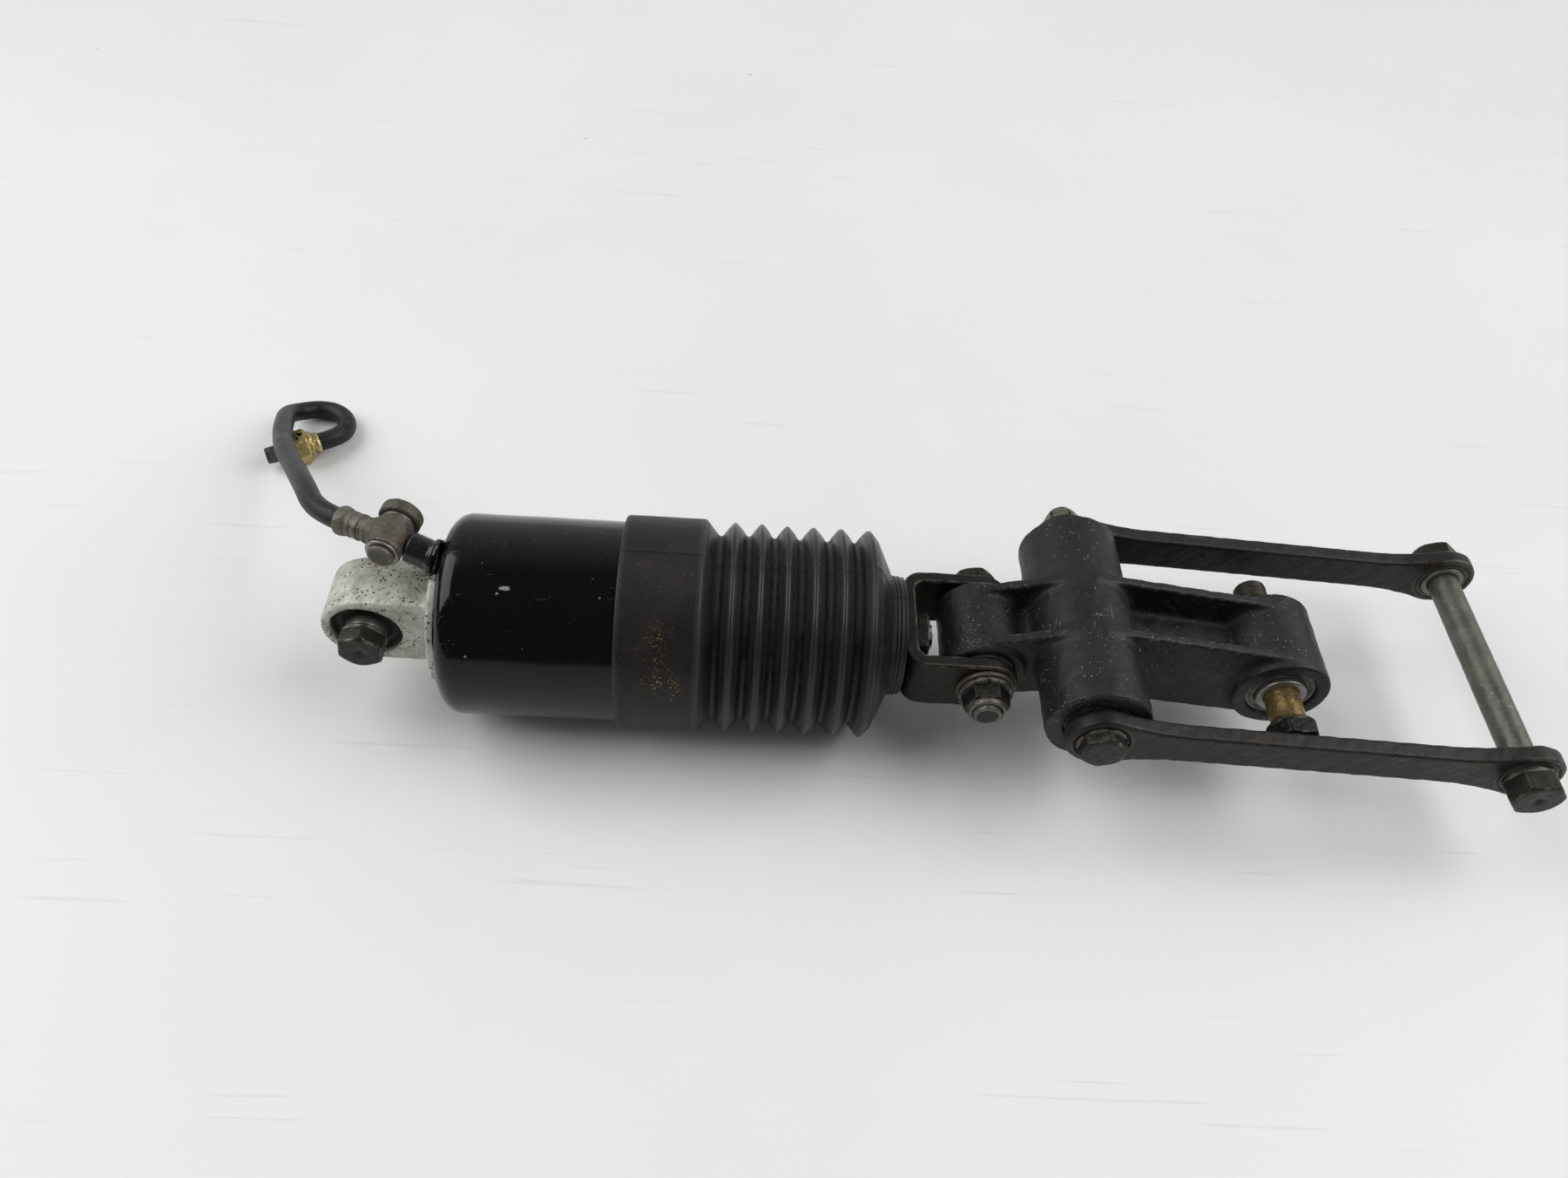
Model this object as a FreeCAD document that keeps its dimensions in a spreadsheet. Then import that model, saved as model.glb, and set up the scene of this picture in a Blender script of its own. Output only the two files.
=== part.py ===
"""Rear shock absorber with its bell-crank linkage, as an assembly of separate pieces.

The damper axis is +X, from the upper eye towards the linkage. All pivot axes
are +Y. +Z is up, with the unit lying on its side. Positions in the sheet are
taken from the centre of the upper eye; shift_x, shift_y and shift_z then move
every piece so that the origin is the middle of the bottom face of the box
round the hard parts.
"""
import FreeCAD, Part
import math
import os
import Sketcher
from FreeCAD import Placement, Rotation, Vector

os.makedirs("parts", exist_ok=True)
doc = FreeCAD.newDocument("rear_shock_absorber")
sheet = doc.addObject("Spreadsheet::Sheet", "Dims")
D = {}


def dim(alias, value, note=""):
    row = len(D) + 1
    sheet.set("A%d" % row, alias)
    sheet.set("B%d" % row, repr(float(value)))
    sheet.set("C%d" % row, note)
    sheet.setAlias("B%d" % row, alias)
    D[alias] = float(value)


# ---- frame
dim("shift_x", -230.8, "origin shift")
dim("shift_y", -0.8, "origin shift")
dim("shift_z", 42.7, "height of the damper axis over the bench")
# ---- pivots, from the upper eye
dim("pc_x", 250.0, "clevis pivot")
dim("pt_x", 291.0, "tie-rod pivot")
dim("pt_z", 9.0)
dim("pf_x", 374.5, "frame pivot of the rocker")
dim("pf_z", -1.8)
dim("pe_x", 465.5, "far end of the tie rods")
dim("pe_z", -0.6)
# ---- upper eye
dim("eye_rad", 17.8)
dim("eye_half", 12.7)
dim("eye_hole", 14.15)
dim("eye_base_start", 28.3)
dim("eye_base_rad", 30.0)
dim("eye_base_thick", 4.0)
dim("eye_flare", 20.5)
dim("bush_rad", 14.1)
dim("bush_bore", 8.6)
dim("bush_half", 11.0)
dim("sleeve_rad", 8.5)
dim("sleeve_bore", 6.05)
dim("sleeve_half", 14.5)
dim("bolt_rad", 6.0, "M12")
dim("upper_bolt_end", 22.5)
dim("thread_rad", 5.9, "M12 thread, major")
dim("f_thread_rad", 6.9, "M14 thread, major")
dim("relief", 1.6, "width of the groove between shank and thread")
dim("relief_rad", 4.9)
dim("f_relief_rad", 5.8)
dim("head_high", 7.5)
dim("af_bolt", 17.0)
dim("af_big", 19.0)
# ---- canister
dim("can_start", 32.3)
dim("can_len", 75.7)
dim("can_rad", 41.0)
dim("can_wall", 3.0)
dim("can_end", 3.0)
dim("can_corner", 8.0)
dim("can_hole", 12.0)
# ---- damper tube and what it holds
dim("tube_start", 35.5)
dim("tube_len", 102.5)
dim("tube_rad", 21.5)
dim("tube_bore", 16.5)
dim("tube_end", 4.5)
dim("stud_rad", 11.8)
dim("guide_start", 128.0)
dim("guide_len", 9.0)
dim("guide_rad", 16.4)
dim("rod_rad", 6.25)
dim("rod_run", 6.32, "bore that runs on the rod")
dim("seal_start", 123.5)
dim("seal_len", 4.3)
dim("piston_start", 100.0)
dim("piston_len", 12.0)
dim("piston_rad", 15.9)
dim("piston_ring_rad", 16.42)
dim("rod_step", 5.0)
dim("free_start", 50.0)
dim("free_len", 9.0)
dim("free_rad", 16.1)
dim("free_ring_rad", 16.42)
dim("rod_end", 229.5)
# ---- spring
dim("spring_start", 50.2)
dim("spring_len", 149.4)
dim("spring_mean", 27.0)
dim("spring_wire", 4.4)
dim("spring_turns", 7.0)
dim("seat_rad", 32.6)
dim("seat_bore", 21.8)
dim("seat_thick", 14.4)
dim("low_seat_start", 199.8)
dim("low_seat_thick", 4.0)
dim("low_seat_rad", 31.6)
dim("hub_rad", 21.3)
dim("hub_end", 216.8)
dim("bump_start", 179.0)
dim("bump_len", 20.6)
dim("bump_rad", 14.0)
# ---- boot
dim("boot_start", 102.0)
dim("cuff_rad", 43.8)
dim("cuff_end", 134.0)
dim("boot_in", 41.3)
dim("peak_rad", 43.1)
dim("valley_rad", 36.7)
dim("boot_wall", 2.6)
dim("neck_start", 211.6)
dim("neck_rad", 24.6)
dim("neck_end", 216.8)
# ---- clevis
dim("clevis_start", 217.0)
dim("clevis_thick", 5.0)
dim("ear_in", 19.0)
dim("ear_out", 24.4)
dim("ear_rad", 13.4)
dim("rod_nut_high", 6.0)
dim("washer_rad", 12.0)
dim("washer_thick", 2.0)
dim("flange_rad", 11.2)
dim("flange_thick", 2.2)
dim("nut_high", 6.6)
dim("collar_rad", 7.6)
dim("collar_high", 2.0)
dim("clevis_bolt_end", 38.2)
# ---- rocker arm
dim("bc_rad", 17.1, "boss in the clevis")
dim("bc_half", 17.6)
dim("bt_rad", 20.8, "cross boss")
dim("bt_half", 46.5)
dim("bf_rad", 19.7, "frame boss")
dim("bf_half", 19.3)
dim("rib_out", 15.6)
dim("rib_in", 11.6)
dim("web_half", 4.0)
dim("bore_c", 12.6)
dim("bore_t", 13.4)
dim("bore_f", 14.2)
dim("p_sleeve_rad", 9.0)
dim("p_sleeve_run", 9.06)
dim("f_sleeve_rad", 10.2)
dim("f_sleeve_run", 10.26)
dim("f_sleeve_half", 20.0)
dim("f_bolt_rad", 7.0, "M14")
dim("f_bolt_run", 7.06)
dim("f_head_y", -35.0)
dim("f_bolt_end", 38.0)
dim("f_head_high", 8.4)
# ---- tie rods
dim("rod_in", 47.3)
dim("rod_thick", 7.0)
dim("rod_eye", 13.8)
dim("rod_bar", 8.4)
dim("t_sleeve_half", 47.25)
dim("t_head_high", 5.0)
dim("t_nut_high", 9.0)
dim("t_bolt_end", 66.5)
dim("shaft_rad", 6.3)
dim("shaft_run", 6.36)
dim("bush_out", 9.0)
dim("e_head_high", 9.5)
dim("e_nut_high", 8.5)
dim("e_bolt_end", 66.0)
# ---- air fitting
dim("stub_rad", 6.2)
dim("stub_bore", 3.0)
dim("banjo_rad", 7.2)
dim("banjo_half", 7.4)
dim("banjo_bore", 4.2)
dim("banjo_shank", 4.0)
dim("banjo_head", 8.4)
dim("ferrule_rad", 5.6)
dim("hose_rad", 4.5)
dim("brass_af", 16.0)
dim("cap_rad", 4.1)
doc.recompute()


def atom(token):
    return D[token] if token in D else float(token)


def num(e):
    """Value of a sum of terms such as 'a + b * 2 - c'."""
    if isinstance(e, (int, float)):
        return float(e)
    total = 0.0
    for term in e.replace(" - ", " + ~").split(" + "):
        sign = 1.0
        if term.startswith("~"):
            sign, term = -1.0, term[1:]
        value = 1.0
        for i, token in enumerate(term.replace(" / ", " * /").split(" * ")):
            if token.startswith("/"):
                value /= atom(token[1:])
            else:
                value *= atom(token)
        total += sign * value
    return total


def expr(e):
    """The same sum with every alias read from the sheet."""
    if isinstance(e, (int, float)):
        return repr(float(e))
    return " ".join("Dims." + t if t in D else t for t in e.split(" "))


def neg(e):
    if isinstance(e, (int, float)):
        return -e
    return "0 - " + e.replace(" - ", " # ").replace(" + ", " - ").replace(" # ", " + ")


def origin_plane(body, role):
    for f in body.Origin.OriginFeatures:
        if f.Role == role:
            return f


def bind_place(obj, pos, rot=None):
    """Place obj at pos (sheet sums, from the eye centre), shifted to the part's origin."""
    obj.Placement = Placement(Vector(0, 0, 0), rot or Rotation())
    for axis, e in zip("xyz", pos):
        obj.setExpression("Placement.Base." + axis, expr(e) + " + Dims.shift_" + axis)


def local_place(obj, pos, rot=None):
    obj.Placement = Placement(Vector(0, 0, 0), rot or Rotation())
    for axis, e in zip("xyz", pos):
        if not (isinstance(e, (int, float)) and e == 0):
            obj.setExpression("Placement.Base." + axis, expr(e))


def polygon(sketch, pts):
    """Closed outline whose corners are held at sheet sums by distances from the origin."""
    vals = [(num(a), num(b)) for a, b in pts]
    n = len(pts)
    for i in range(n):
        a, b = vals[i], vals[(i + 1) % n]
        sketch.addGeometry(Part.LineSegment(Vector(a[0], a[1], 0), Vector(b[0], b[1], 0)), False)
    for i in range(n):
        sketch.addConstraint(Sketcher.Constraint("Coincident", i, 2, (i + 1) % n, 1))
    for i, (a, b) in enumerate(pts):
        for kind, line, e, v in (("DistanceX", -2, a, vals[i][0]), ("DistanceY", -1, b, vals[i][1])):
            if abs(v) < 1e-9:
                sketch.addConstraint(Sketcher.Constraint("PointOnObject", i, 1, line))
            elif v > 0:
                c = sketch.addConstraint(Sketcher.Constraint(kind, -1, 1, i, 1, v))
                sketch.setExpression("Constraints[%d]" % c, expr(e))
            else:
                c = sketch.addConstraint(Sketcher.Constraint(kind, i, 1, -1, 1, -v))
                sketch.setExpression("Constraints[%d]" % c, expr(neg(e)))


def body_sketch(body, name, role, pts):
    sk = body.newObject("Sketcher::SketchObject", name)
    sk.AttachmentSupport = [(origin_plane(body, role), "")]
    sk.MapMode = "FlatFace"
    polygon(sk, pts)
    return sk


NODES = []


def final(obj, label):
    obj.Label = label
    NODES.append((label, obj))
    return obj


def turned_body(name, axis, pts):
    """Revolved body. pts are (distance along the axis, radius)."""
    body = doc.addObject("PartDesign::Body", name)
    if axis == "X":
        sk = body_sketch(body, name + "_outline", "XY_Plane", pts)
        ref = "H_Axis"
    else:
        sk = body_sketch(body, name + "_outline", "XY_Plane", [(r, a) for a, r in pts])
        ref = "V_Axis"
    rev = body.newObject("PartDesign::Revolution", name + "_turn")
    rev.Profile = sk
    rev.ReferenceAxis = (sk, [ref])
    rev.Angle = 360.0
    sk.Visibility = False
    doc.recompute()
    return body


def turned(label, axis, pos, pts):
    body = turned_body(label + "_body", axis, pts)
    bind_place(body, pos)
    return final(body, label)


TO_Y = Rotation(Vector(1, 0, 0), -90)   # +Z to +Y
TO_X = Rotation(Vector(0, 1, 0), 90)    # +Z to +X
ROT = {"X": TO_X, "Y": TO_Y, "Z": Rotation()}
COUNT = [0]


def uid(stem):
    COUNT[0] += 1
    return "%s_%d" % (stem, COUNT[0])


def cyl(rad, high, pos, axis="Y"):
    c = doc.addObject("Part::Cylinder", uid("cyl"))
    c.setExpression("Radius", expr(rad))
    c.setExpression("Height", expr(high))
    local_place(c, pos, ROT[axis])
    return c


def hexagon(af, high, pos, axis="Y", turn=0.0):
    p = doc.addObject("Part::Prism", uid("hex"))
    p.Polygon = 6
    p.setExpression("Circumradius", "(" + expr(af) + ") / sqrt(3)")
    p.setExpression("Height", expr(high))
    local_place(p, pos, ROT[axis] * Rotation(Vector(0, 0, 1), turn))
    return p


def dome(rad, high, pos, axis="Y"):
    c = doc.addObject("Part::Cone", uid("cone"))
    c.setExpression("Radius1", expr(rad))
    c.setExpression("Radius2", "(" + expr(rad) + ") * 0.9")
    c.setExpression("Height", expr(high))
    local_place(c, pos, ROT[axis])
    return c


def box(size, pos, rot=None):
    b = doc.addObject("Part::Box", uid("box"))
    for n, e in zip(("Length", "Width", "Height"), size):
        b.setExpression(n, expr(e))
    local_place(b, pos, rot)
    return b


def fuse(objs):
    f = doc.addObject("Part::MultiFuse", uid("fuse"))
    f.Shapes = objs
    f.Refine = True
    return f


def cut(base, tools):
    c = doc.addObject("Part::Cut", uid("cut"))
    c.Base = base
    c.Tool = tools[0] if len(tools) == 1 else fuse(tools)
    c.Refine = True
    return c


def common(a, b):
    c = doc.addObject("Part::Common", uid("common"))
    c.Base = a
    c.Tool = b
    return c


def ring(rad, bore, high, pos, axis="Y"):
    step = {"X": ("0 - 1", 0, 0), "Y": (0, "0 - 1", 0), "Z": (0, 0, "0 - 1")}[axis]
    inner = []
    for e, s in zip(pos, step):
        if s == 0:
            inner.append(e)
        elif isinstance(e, (int, float)):
            inner.append(e - 1)
        else:
            inner.append(e + " - 1")
    return cut(cyl(rad, high, pos, axis), [cyl(bore, (high if isinstance(high, str) else repr(float(high))) + " + 2", inner, axis)])


def group(objs):
    g = doc.addObject("Part::Compound", uid("group"))
    g.Links = objs
    return g


def placed(obj, label, pos=(0, 0, 0), rot=None):
    bind_place(obj, pos, rot)
    return final(obj, label)


# =====================================================================
# Upper mount
# =====================================================================
S0 = Vector(31.6, 1.2, 31.2)            # where the stub leaves the canister's end
S1 = Vector(12.3, 6.0, 37.0)            # centre of the union
aim = (S1 - S0)
stub_len = aim.Length - D["banjo_rad"] - 0.6
STUB_ROT = Rotation(Vector(0, 0, 1), aim)

# The eye: a D-shaped cast block on a round foot that closes the canister's end.
eye = fuse([
    cyl("eye_rad", "eye_half * 2", (0, "0 - eye_half", 0)),
    box(("eye_base_start", "eye_half * 2", "eye_rad * 2"), (0, "0 - eye_half", "0 - eye_rad")),
    box((4.2, "eye_half * 2 + 2", "eye_flare * 2"), ("eye_base_start - 4", "0 - eye_half - 1", "0 - eye_flare")),
    cyl("eye_base_rad", "eye_base_thick", ("eye_base_start", 0, 0), "X"),
])
notch = cyl("stub_rad + 1.9", 24, (S0.x, S0.y, S0.z), "Z")
notch.Placement = Placement(S0 - aim.normalize() * 4.0, STUB_ROT)
eye = cut(eye, [cyl("eye_hole", "eye_half * 2 + 2", (0, "0 - eye_half - 1", 0)), notch])
placed(eye, "upper_eye_mount")

placed(ring("bush_rad", "bush_bore", "bush_half * 2", (0, "0 - bush_half", 0)), "upper_bush_rubber")
placed(ring("sleeve_rad", "sleeve_bore", "sleeve_half * 2", (0, "0 - sleeve_half", 0)), "upper_inner_sleeve")

# M12 bolt: washer face, hexagon head with a chamfered crown, shank with a free threaded end.
head = common(hexagon("af_bolt", "head_high", (0, "0 - sleeve_half - head_high - 1.2", 0), "Y", 10.0),
              fuse([cyl("af_bolt / 2 + 0.9", "head_high", (0, "0 - sleeve_half - head_high - 0.4", 0)),
                    cyl("af_bolt / 2", "1", (0, "0 - sleeve_half - head_high - 1.2", 0))]))
placed(fuse([head,
             cyl("sleeve_rad + 0.6", 1.3, (0, "0 - sleeve_half - 1.3", 0)),
             cyl("bolt_rad", "sleeve_half * 2 + 0.5", (0, "0 - sleeve_half - 0.5", 0)),
             cyl("relief_rad", "relief + 2", (0, "sleeve_half - 1", 0)),
             cyl("thread_rad", "upper_bolt_end - sleeve_half - relief", (0, "sleeve_half + relief", 0))]), "upper_bolt")

# =====================================================================
# Canister, damper tube and internals
# =====================================================================
can = turned_body("canister_body", "X", [
    (0, "can_hole"), (0, "can_rad"), ("can_len", "can_rad"), ("can_len", "can_rad - can_wall"),
    ("can_end", "can_rad - can_wall"), ("can_end", "can_hole"),
])
fil = can.newObject("PartDesign::Fillet", "canister_corner")
base = can.Group[-2]
edges = []
for i, e in enumerate(base.Shape.Edges):
    if isinstance(e.Curve, Part.Circle) and abs(e.Curve.Radius - D["can_rad"]) < 1e-6 and abs(e.Curve.Center.x) < 1e-6:
        edges.append("Edge%d" % (i + 1))
fil.Base = (base, edges)
fil.setExpression("Radius", "Dims.can_corner")
can.Tip = fil
doc.recompute()
fil2 = can.newObject("PartDesign::Fillet", "canister_inner_corner")
edges = []
for i, e in enumerate(fil.Shape.Edges):
    if (isinstance(e.Curve, Part.Circle) and abs(e.Curve.Radius - (D["can_rad"] - D["can_wall"])) < 1e-6
            and abs(e.Curve.Center.x - D["can_end"]) < 1e-6):
        edges.append("Edge%d" % (i + 1))
fil2.Base = (fil, edges)
fil2.setExpression("Radius", "Dims.can_corner - Dims.can_wall")
can.Tip = fil2
bind_place(can, ("can_start", 0, 0))
final(can, "canister")
doc.recompute()

# Inner damper tube, closed at the canister end by a stud that sits in the end wall.
turned("damper_tube", "X", ("can_start + 0.2", 0, 0), [
    (0, 0), (0, "stud_rad"), ("tube_start - can_start - 0.2", "stud_rad"),
    ("tube_start - can_start - 0.2", "tube_rad"),
    ("tube_start - can_start + tube_len - 0.2", "tube_rad"),
    ("tube_start - can_start + tube_len - 0.2", "tube_bore"),
    ("tube_start - can_start + tube_end - 0.2", "tube_bore"),
    ("tube_start - can_start + tube_end - 0.2", 0),
])
placed(ring("seat_rad", "seat_bore", "seat_thick", ("tube_start + 0.1", 0, 0), "X"), "upper_spring_seat")
turned("rod_guide", "X", ("guide_start", 0, 0), [
    (0, "rod_run"), (0, "guide_rad"), ("guide_len", "guide_rad"), ("guide_len", "rod_run"),
])
turned("rod_seal", "X", ("seal_start", 0, 0), [
    (0, "rod_run"), (0, "guide_rad"), ("seal_len", "guide_rad"), ("seal_len", "rod_run + 2"),
    ("seal_len - 1.5", "rod_run"),
])
turned("free_piston", "X", ("free_start", 0, 0), [
    (0, 0), (0, "free_rad"), (3, "free_rad"), (3, "free_rad - 2"), (6, "free_rad - 2"),
    (6, "free_rad"), ("free_len", "free_rad"), ("free_len", "free_rad - 5"),
    ("free_len - 4", "free_rad - 5"), ("free_len - 4", 0),
])
turned("free_piston_ring", "X", ("free_start + 3.1", 0, 0), [
    (0, "free_rad - 1.9"), (0, "free_ring_rad"), (2.8, "free_ring_rad"), (2.8, "free_rad - 1.9"),
])

# Piston rod with its stepped and threaded ends.
turned("piston_rod", "X", ("piston_start - 8", 0, 0), [
    (0, 0), (0, "rod_step"), ("piston_len + 8", "rod_step"), ("piston_len + 8", "rod_rad"),
    ("low_seat_start + 1 - piston_start + 8", "rod_rad"),
    ("low_seat_start + 1 - piston_start + 8", "rod_step"),
    ("rod_end - piston_start + 8", "rod_step"), ("rod_end - piston_start + 8", 0),
])
placed(cut(cyl("piston_rad", "piston_len", ("piston_start", 0, 0), "X"), [
    cyl("rod_step + 0.05", "piston_len + 2", ("piston_start - 1", 0, 0), "X"),
    ring("piston_rad + 1", "piston_rad - 1.5", 5, ("piston_start + 3.5", 0, 0), "X"),
] + [cyl(1.6, "piston_len + 2", ("piston_start - 1", 10.2 * math.cos(a), 10.2 * math.sin(a)), "X")
     for a in [math.radians(60 * k) for k in range(6)]]), "piston")
placed(ring("piston_ring_rad", "piston_rad - 1.4", 4.8, ("piston_start + 3.6", 0, 0), "X"), "piston_ring")
placed(cut(hexagon("af_bolt", 6, ("piston_start - 6.1", 0, 0), "X"),
           [cyl("rod_step + 0.05", 8, ("piston_start - 7", 0, 0), "X")]), "piston_nut")

# Bump stop: a rubber stack on the rod.
turned("bump_stop", "X", ("bump_start", 0, 0), [
    (0, "rod_rad + 0.3"), (0, "bump_rad - 4"), (5, "bump_rad"), (9, "bump_rad - 3"), (13, "bump_rad"),
    (17, "bump_rad - 3"), ("bump_len", "bump_rad"), ("bump_len", "rod_rad + 0.3"),
])
# Lower spring seat: a dished plate with the hub that carries the boot's neck.
turned("lower_spring_seat", "X", ("low_seat_start", 0, 0), [
    (0, "rod_rad + 0.1"), (0, "low_seat_rad"), ("low_seat_thick", "low_seat_rad"),
    ("low_seat_thick + 2.5", "hub_rad"), ("hub_end - low_seat_start", "hub_rad"),
    ("hub_end - low_seat_start", "rod_step + 0.1"), (1, "rod_step + 0.1"), (1, "rod_rad + 0.1"),
])

# Main spring: a round wire on a helix.
helix = Part.makeHelix(D["spring_len"] / D["spring_turns"] - 2 * D["spring_wire"] / D["spring_turns"],
                       D["spring_len"] - 2 * D["spring_wire"], D["spring_mean"])
circle = Part.Wire([Part.makeCircle(D["spring_wire"], Vector(D["spring_mean"], 0, 0), Vector(0, 1, 0))])
coil = Part.Wire(helix.Edges).makePipeShell([circle], True, True)
spring = doc.addObject("Part::Feature", "coil_spring_body")
spring.Shape = coil
spring.Placement = Placement(Vector(0, 0, 0), TO_X)
for axis, e in zip("xyz", ("spring_start + spring_wire", 0, 0)):
    spring.setExpression("Placement.Base." + axis, expr(e) + " + Dims.shift_" + axis)
final(spring, "coil_spring")

# Rubber boot: wide smooth cuff, six sharp folds, a cone and a ringed neck.
peaks = [145.9, 156.9, 167.3, 178.0, 189.4, 201.0]
valleys = [140.4, 151.8, 162.3, 172.8, 184.2, 195.4]
for i, v in enumerate(peaks):
    dim("peak_%d" % (i + 1), v)
for i, v in enumerate(valleys):
    dim("valley_%d" % (i + 1), v)
outer = [(0, "cuff_rad - 0.4"), (1, "cuff_rad"), ("cuff_end - boot_start", "cuff_rad")]
for i in range(6):
    outer.append(("valley_%d - boot_start" % (i + 1), "valley_rad"))
    outer.append(("peak_%d - boot_start" % (i + 1), "peak_rad"))
outer += [("neck_start - boot_start", "neck_rad"), ("neck_end - boot_start", "neck_rad"),
          ("neck_end - boot_start", "hub_rad + 0.3"), ("neck_start - boot_start + 0.6", "hub_rad + 0.3")]
inner = []
for i in reversed(range(6)):
    inner.append(("peak_%d - boot_start" % (i + 1), "peak_rad - boot_wall - 1.2"))
    inner.append(("valley_%d - boot_start" % (i + 1), "valley_rad - boot_wall"))
inner += [("can_start + can_len - boot_start + 0.5", "valley_rad - boot_wall + 1.4"),
          ("can_start + can_len - boot_start + 0.5", "boot_in"), (0, "boot_in")]
boot = turned_body("boot_folds_body", "X", outer + inner)
local_place(boot, ("boot_start", 0, 0))
# The soft boot is pressed a little flat underneath, where it carries the weight on the bench.
placed(cut(boot, [box((120, 100, 10), ("boot_start - 5", -50, "0 - shift_z - 10"))]), "boot")

# =====================================================================
# Clevis on the rod end
# =====================================================================
clevis = fuse([
    box(("clevis_thick", "ear_out * 2", "ear_rad * 2"), ("clevis_start", "0 - ear_out", "0 - ear_rad")),
    box(("pc_x - clevis_start", "ear_out - ear_in", "ear_rad * 2"), ("clevis_start", "ear_in", "0 - ear_rad")),
    box(("pc_x - clevis_start", "ear_out - ear_in", "ear_rad * 2"), ("clevis_start", "0 - ear_out", "0 - ear_rad")),
    cyl("ear_rad", "ear_out - ear_in", ("pc_x", "ear_in", 0)),
    cyl("ear_rad", "ear_out - ear_in", ("pc_x", "0 - ear_out", 0)),
])
clevis = cut(clevis, [
    cyl("bolt_rad + 0.1", "ear_out * 2 + 4", ("pc_x", "0 - ear_out - 2", 0)),
    cyl("rod_step + 0.1", 10, ("clevis_start - 2", 0, 0), "X"),
])
placed(clevis, "clevis")
placed(cut(hexagon("af_big", "rod_nut_high", ("clevis_start + clevis_thick", 0, 0), "X"),
           [cyl("rod_step + 0.05", "rod_nut_high + 2", ("clevis_start + clevis_thick - 1", 0, 0), "X")]), "rod_nut")
placed(ring("p_sleeve_rad", "sleeve_bore", "ear_in * 2 - 0.1", ("pc_x", "0.05 - ear_in", 0)), "clevis_pivot_sleeve")
placed(fuse([
    cyl("bolt_rad", "clevis_bolt_end + ear_out + 1", ("pc_x", "0 - clevis_bolt_end", 0)),
    cyl("af_bolt / 2 + 2", 1.8, ("pc_x", "ear_out", 0)),
    hexagon("af_bolt", "head_high", ("pc_x", "ear_out + 1", 0), "Y", 15.0),
]), "clevis_bolt")
placed(ring("washer_rad", "bolt_rad + 0.15", "washer_thick", ("pc_x", "0 - ear_out - washer_thick", 0)), "clevis_washer")
nut = fuse([
    cyl("flange_rad", "flange_thick", ("pc_x", "0 - ear_out - washer_thick - flange_thick", 0)),
    hexagon("af_bolt", "nut_high", ("pc_x", "0 - ear_out - washer_thick - flange_thick - nut_high + 0.5", 0), "Y", 22.0),
    cyl("collar_rad", "collar_high + 0.5", ("pc_x", "0 - ear_out - washer_thick - flange_thick - nut_high - collar_high + 0.5", 0)),
])
placed(cut(nut, [cyl("bolt_rad + 0.05", 20, ("pc_x", "0 - ear_out - washer_thick - 16", 0))]), "clevis_nut")

# =====================================================================
# Rocker arm: three bosses joined by H-section arms
# =====================================================================
rocker_solid = doc.addObject("PartDesign::Body", "rocker_blank")
sk = body_sketch(rocker_solid, "long_arm_outline", "XZ_Plane", [
    ("pt_x", "pt_z + bt_rad - 0.4"), ("pf_x", "pf_z + bf_rad - 0.4"),
    ("pf_x", "pf_z - bf_rad + 0.4"), ("pt_x", "pt_z - bt_rad + 0.4"),
])
pad = rocker_solid.newObject("PartDesign::Pad", "long_arm")
pad.Profile = sk
pad.Midplane = True
pad.setExpression("Length", "Dims.rib_out * 2")
doc.recompute()
sk = body_sketch(rocker_solid, "short_arm_outline", "XZ_Plane", [
    ("pc_x", "bc_rad - 0.4"), ("pt_x", "pt_z + bt_rad - 0.4"),
    ("pt_x", "pt_z - bt_rad + 0.4"), ("pc_x", "0 - bc_rad + 0.4"),
])
pad = rocker_solid.newObject("PartDesign::Pad", "short_arm")
pad.Profile = sk
pad.Midplane = True
pad.setExpression("Length", "Dims.rib_out * 2")
doc.recompute()
full = rocker_solid.Shape.Volume
# the pockets over and under the web
for name, pts in (
    ("pocket_over_long", [("pt_x", "pt_z + web_half"), ("pf_x", "pf_z + web_half"), ("pf_x", "pf_z + bf_rad + 12"), ("pt_x", "pt_z + bt_rad + 12")]),
    ("pocket_under_long", [("pt_x", "pt_z - web_half"), ("pf_x", "pf_z - web_half"), ("pf_x", "pf_z - bf_rad - 12"), ("pt_x", "pt_z - bt_rad - 12")]),
    ("pocket_over_short", [("pc_x", "web_half"), ("pt_x", "pt_z + web_half"), ("pt_x", "pt_z + bt_rad + 12"), ("pc_x", "bc_rad + 12")]),
    ("pocket_under_short", [("pc_x", "0 - web_half"), ("pt_x", "pt_z - web_half"), ("pt_x", "pt_z - bt_rad - 12"), ("pc_x", "0 - bc_rad - 12")]),
):
    before = rocker_solid.Shape.Volume
    sk = body_sketch(rocker_solid, name + "_outline", "XZ_Plane", pts)
    pk = rocker_solid.newObject("PartDesign::Pocket", name)
    pk.Profile = sk
    pk.Midplane = True
    pk.setExpression("Length", "Dims.rib_in * 2")
    doc.recompute()
    if not rocker_solid.Shape.Volume < before - 100:
        raise RuntimeError(name + " cuts nothing")
rocker = fuse([
    rocker_solid,
    cyl("bc_rad", "bc_half * 2", ("pc_x", "0 - bc_half", 0)),
    cyl("bt_rad", "bt_half * 2", ("pt_x", "0 - bt_half", "pt_z")),
    cyl("bf_rad", "bf_half * 2", ("pf_x", "0 - bf_half", "pf_z")),
])
rocker = cut(rocker, [
    cyl("bore_c", "bc_half * 2 + 2", ("pc_x", "0 - bc_half - 1", 0)),
    cyl("bore_t", "bt_half * 2 + 2", ("pt_x", "0 - bt_half - 1", "pt_z")),
    cyl("bore_f", "bf_half * 2 + 2", ("pf_x", "0 - bf_half - 1", "pf_z")),
])
placed(rocker, "rocker_arm")

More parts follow.
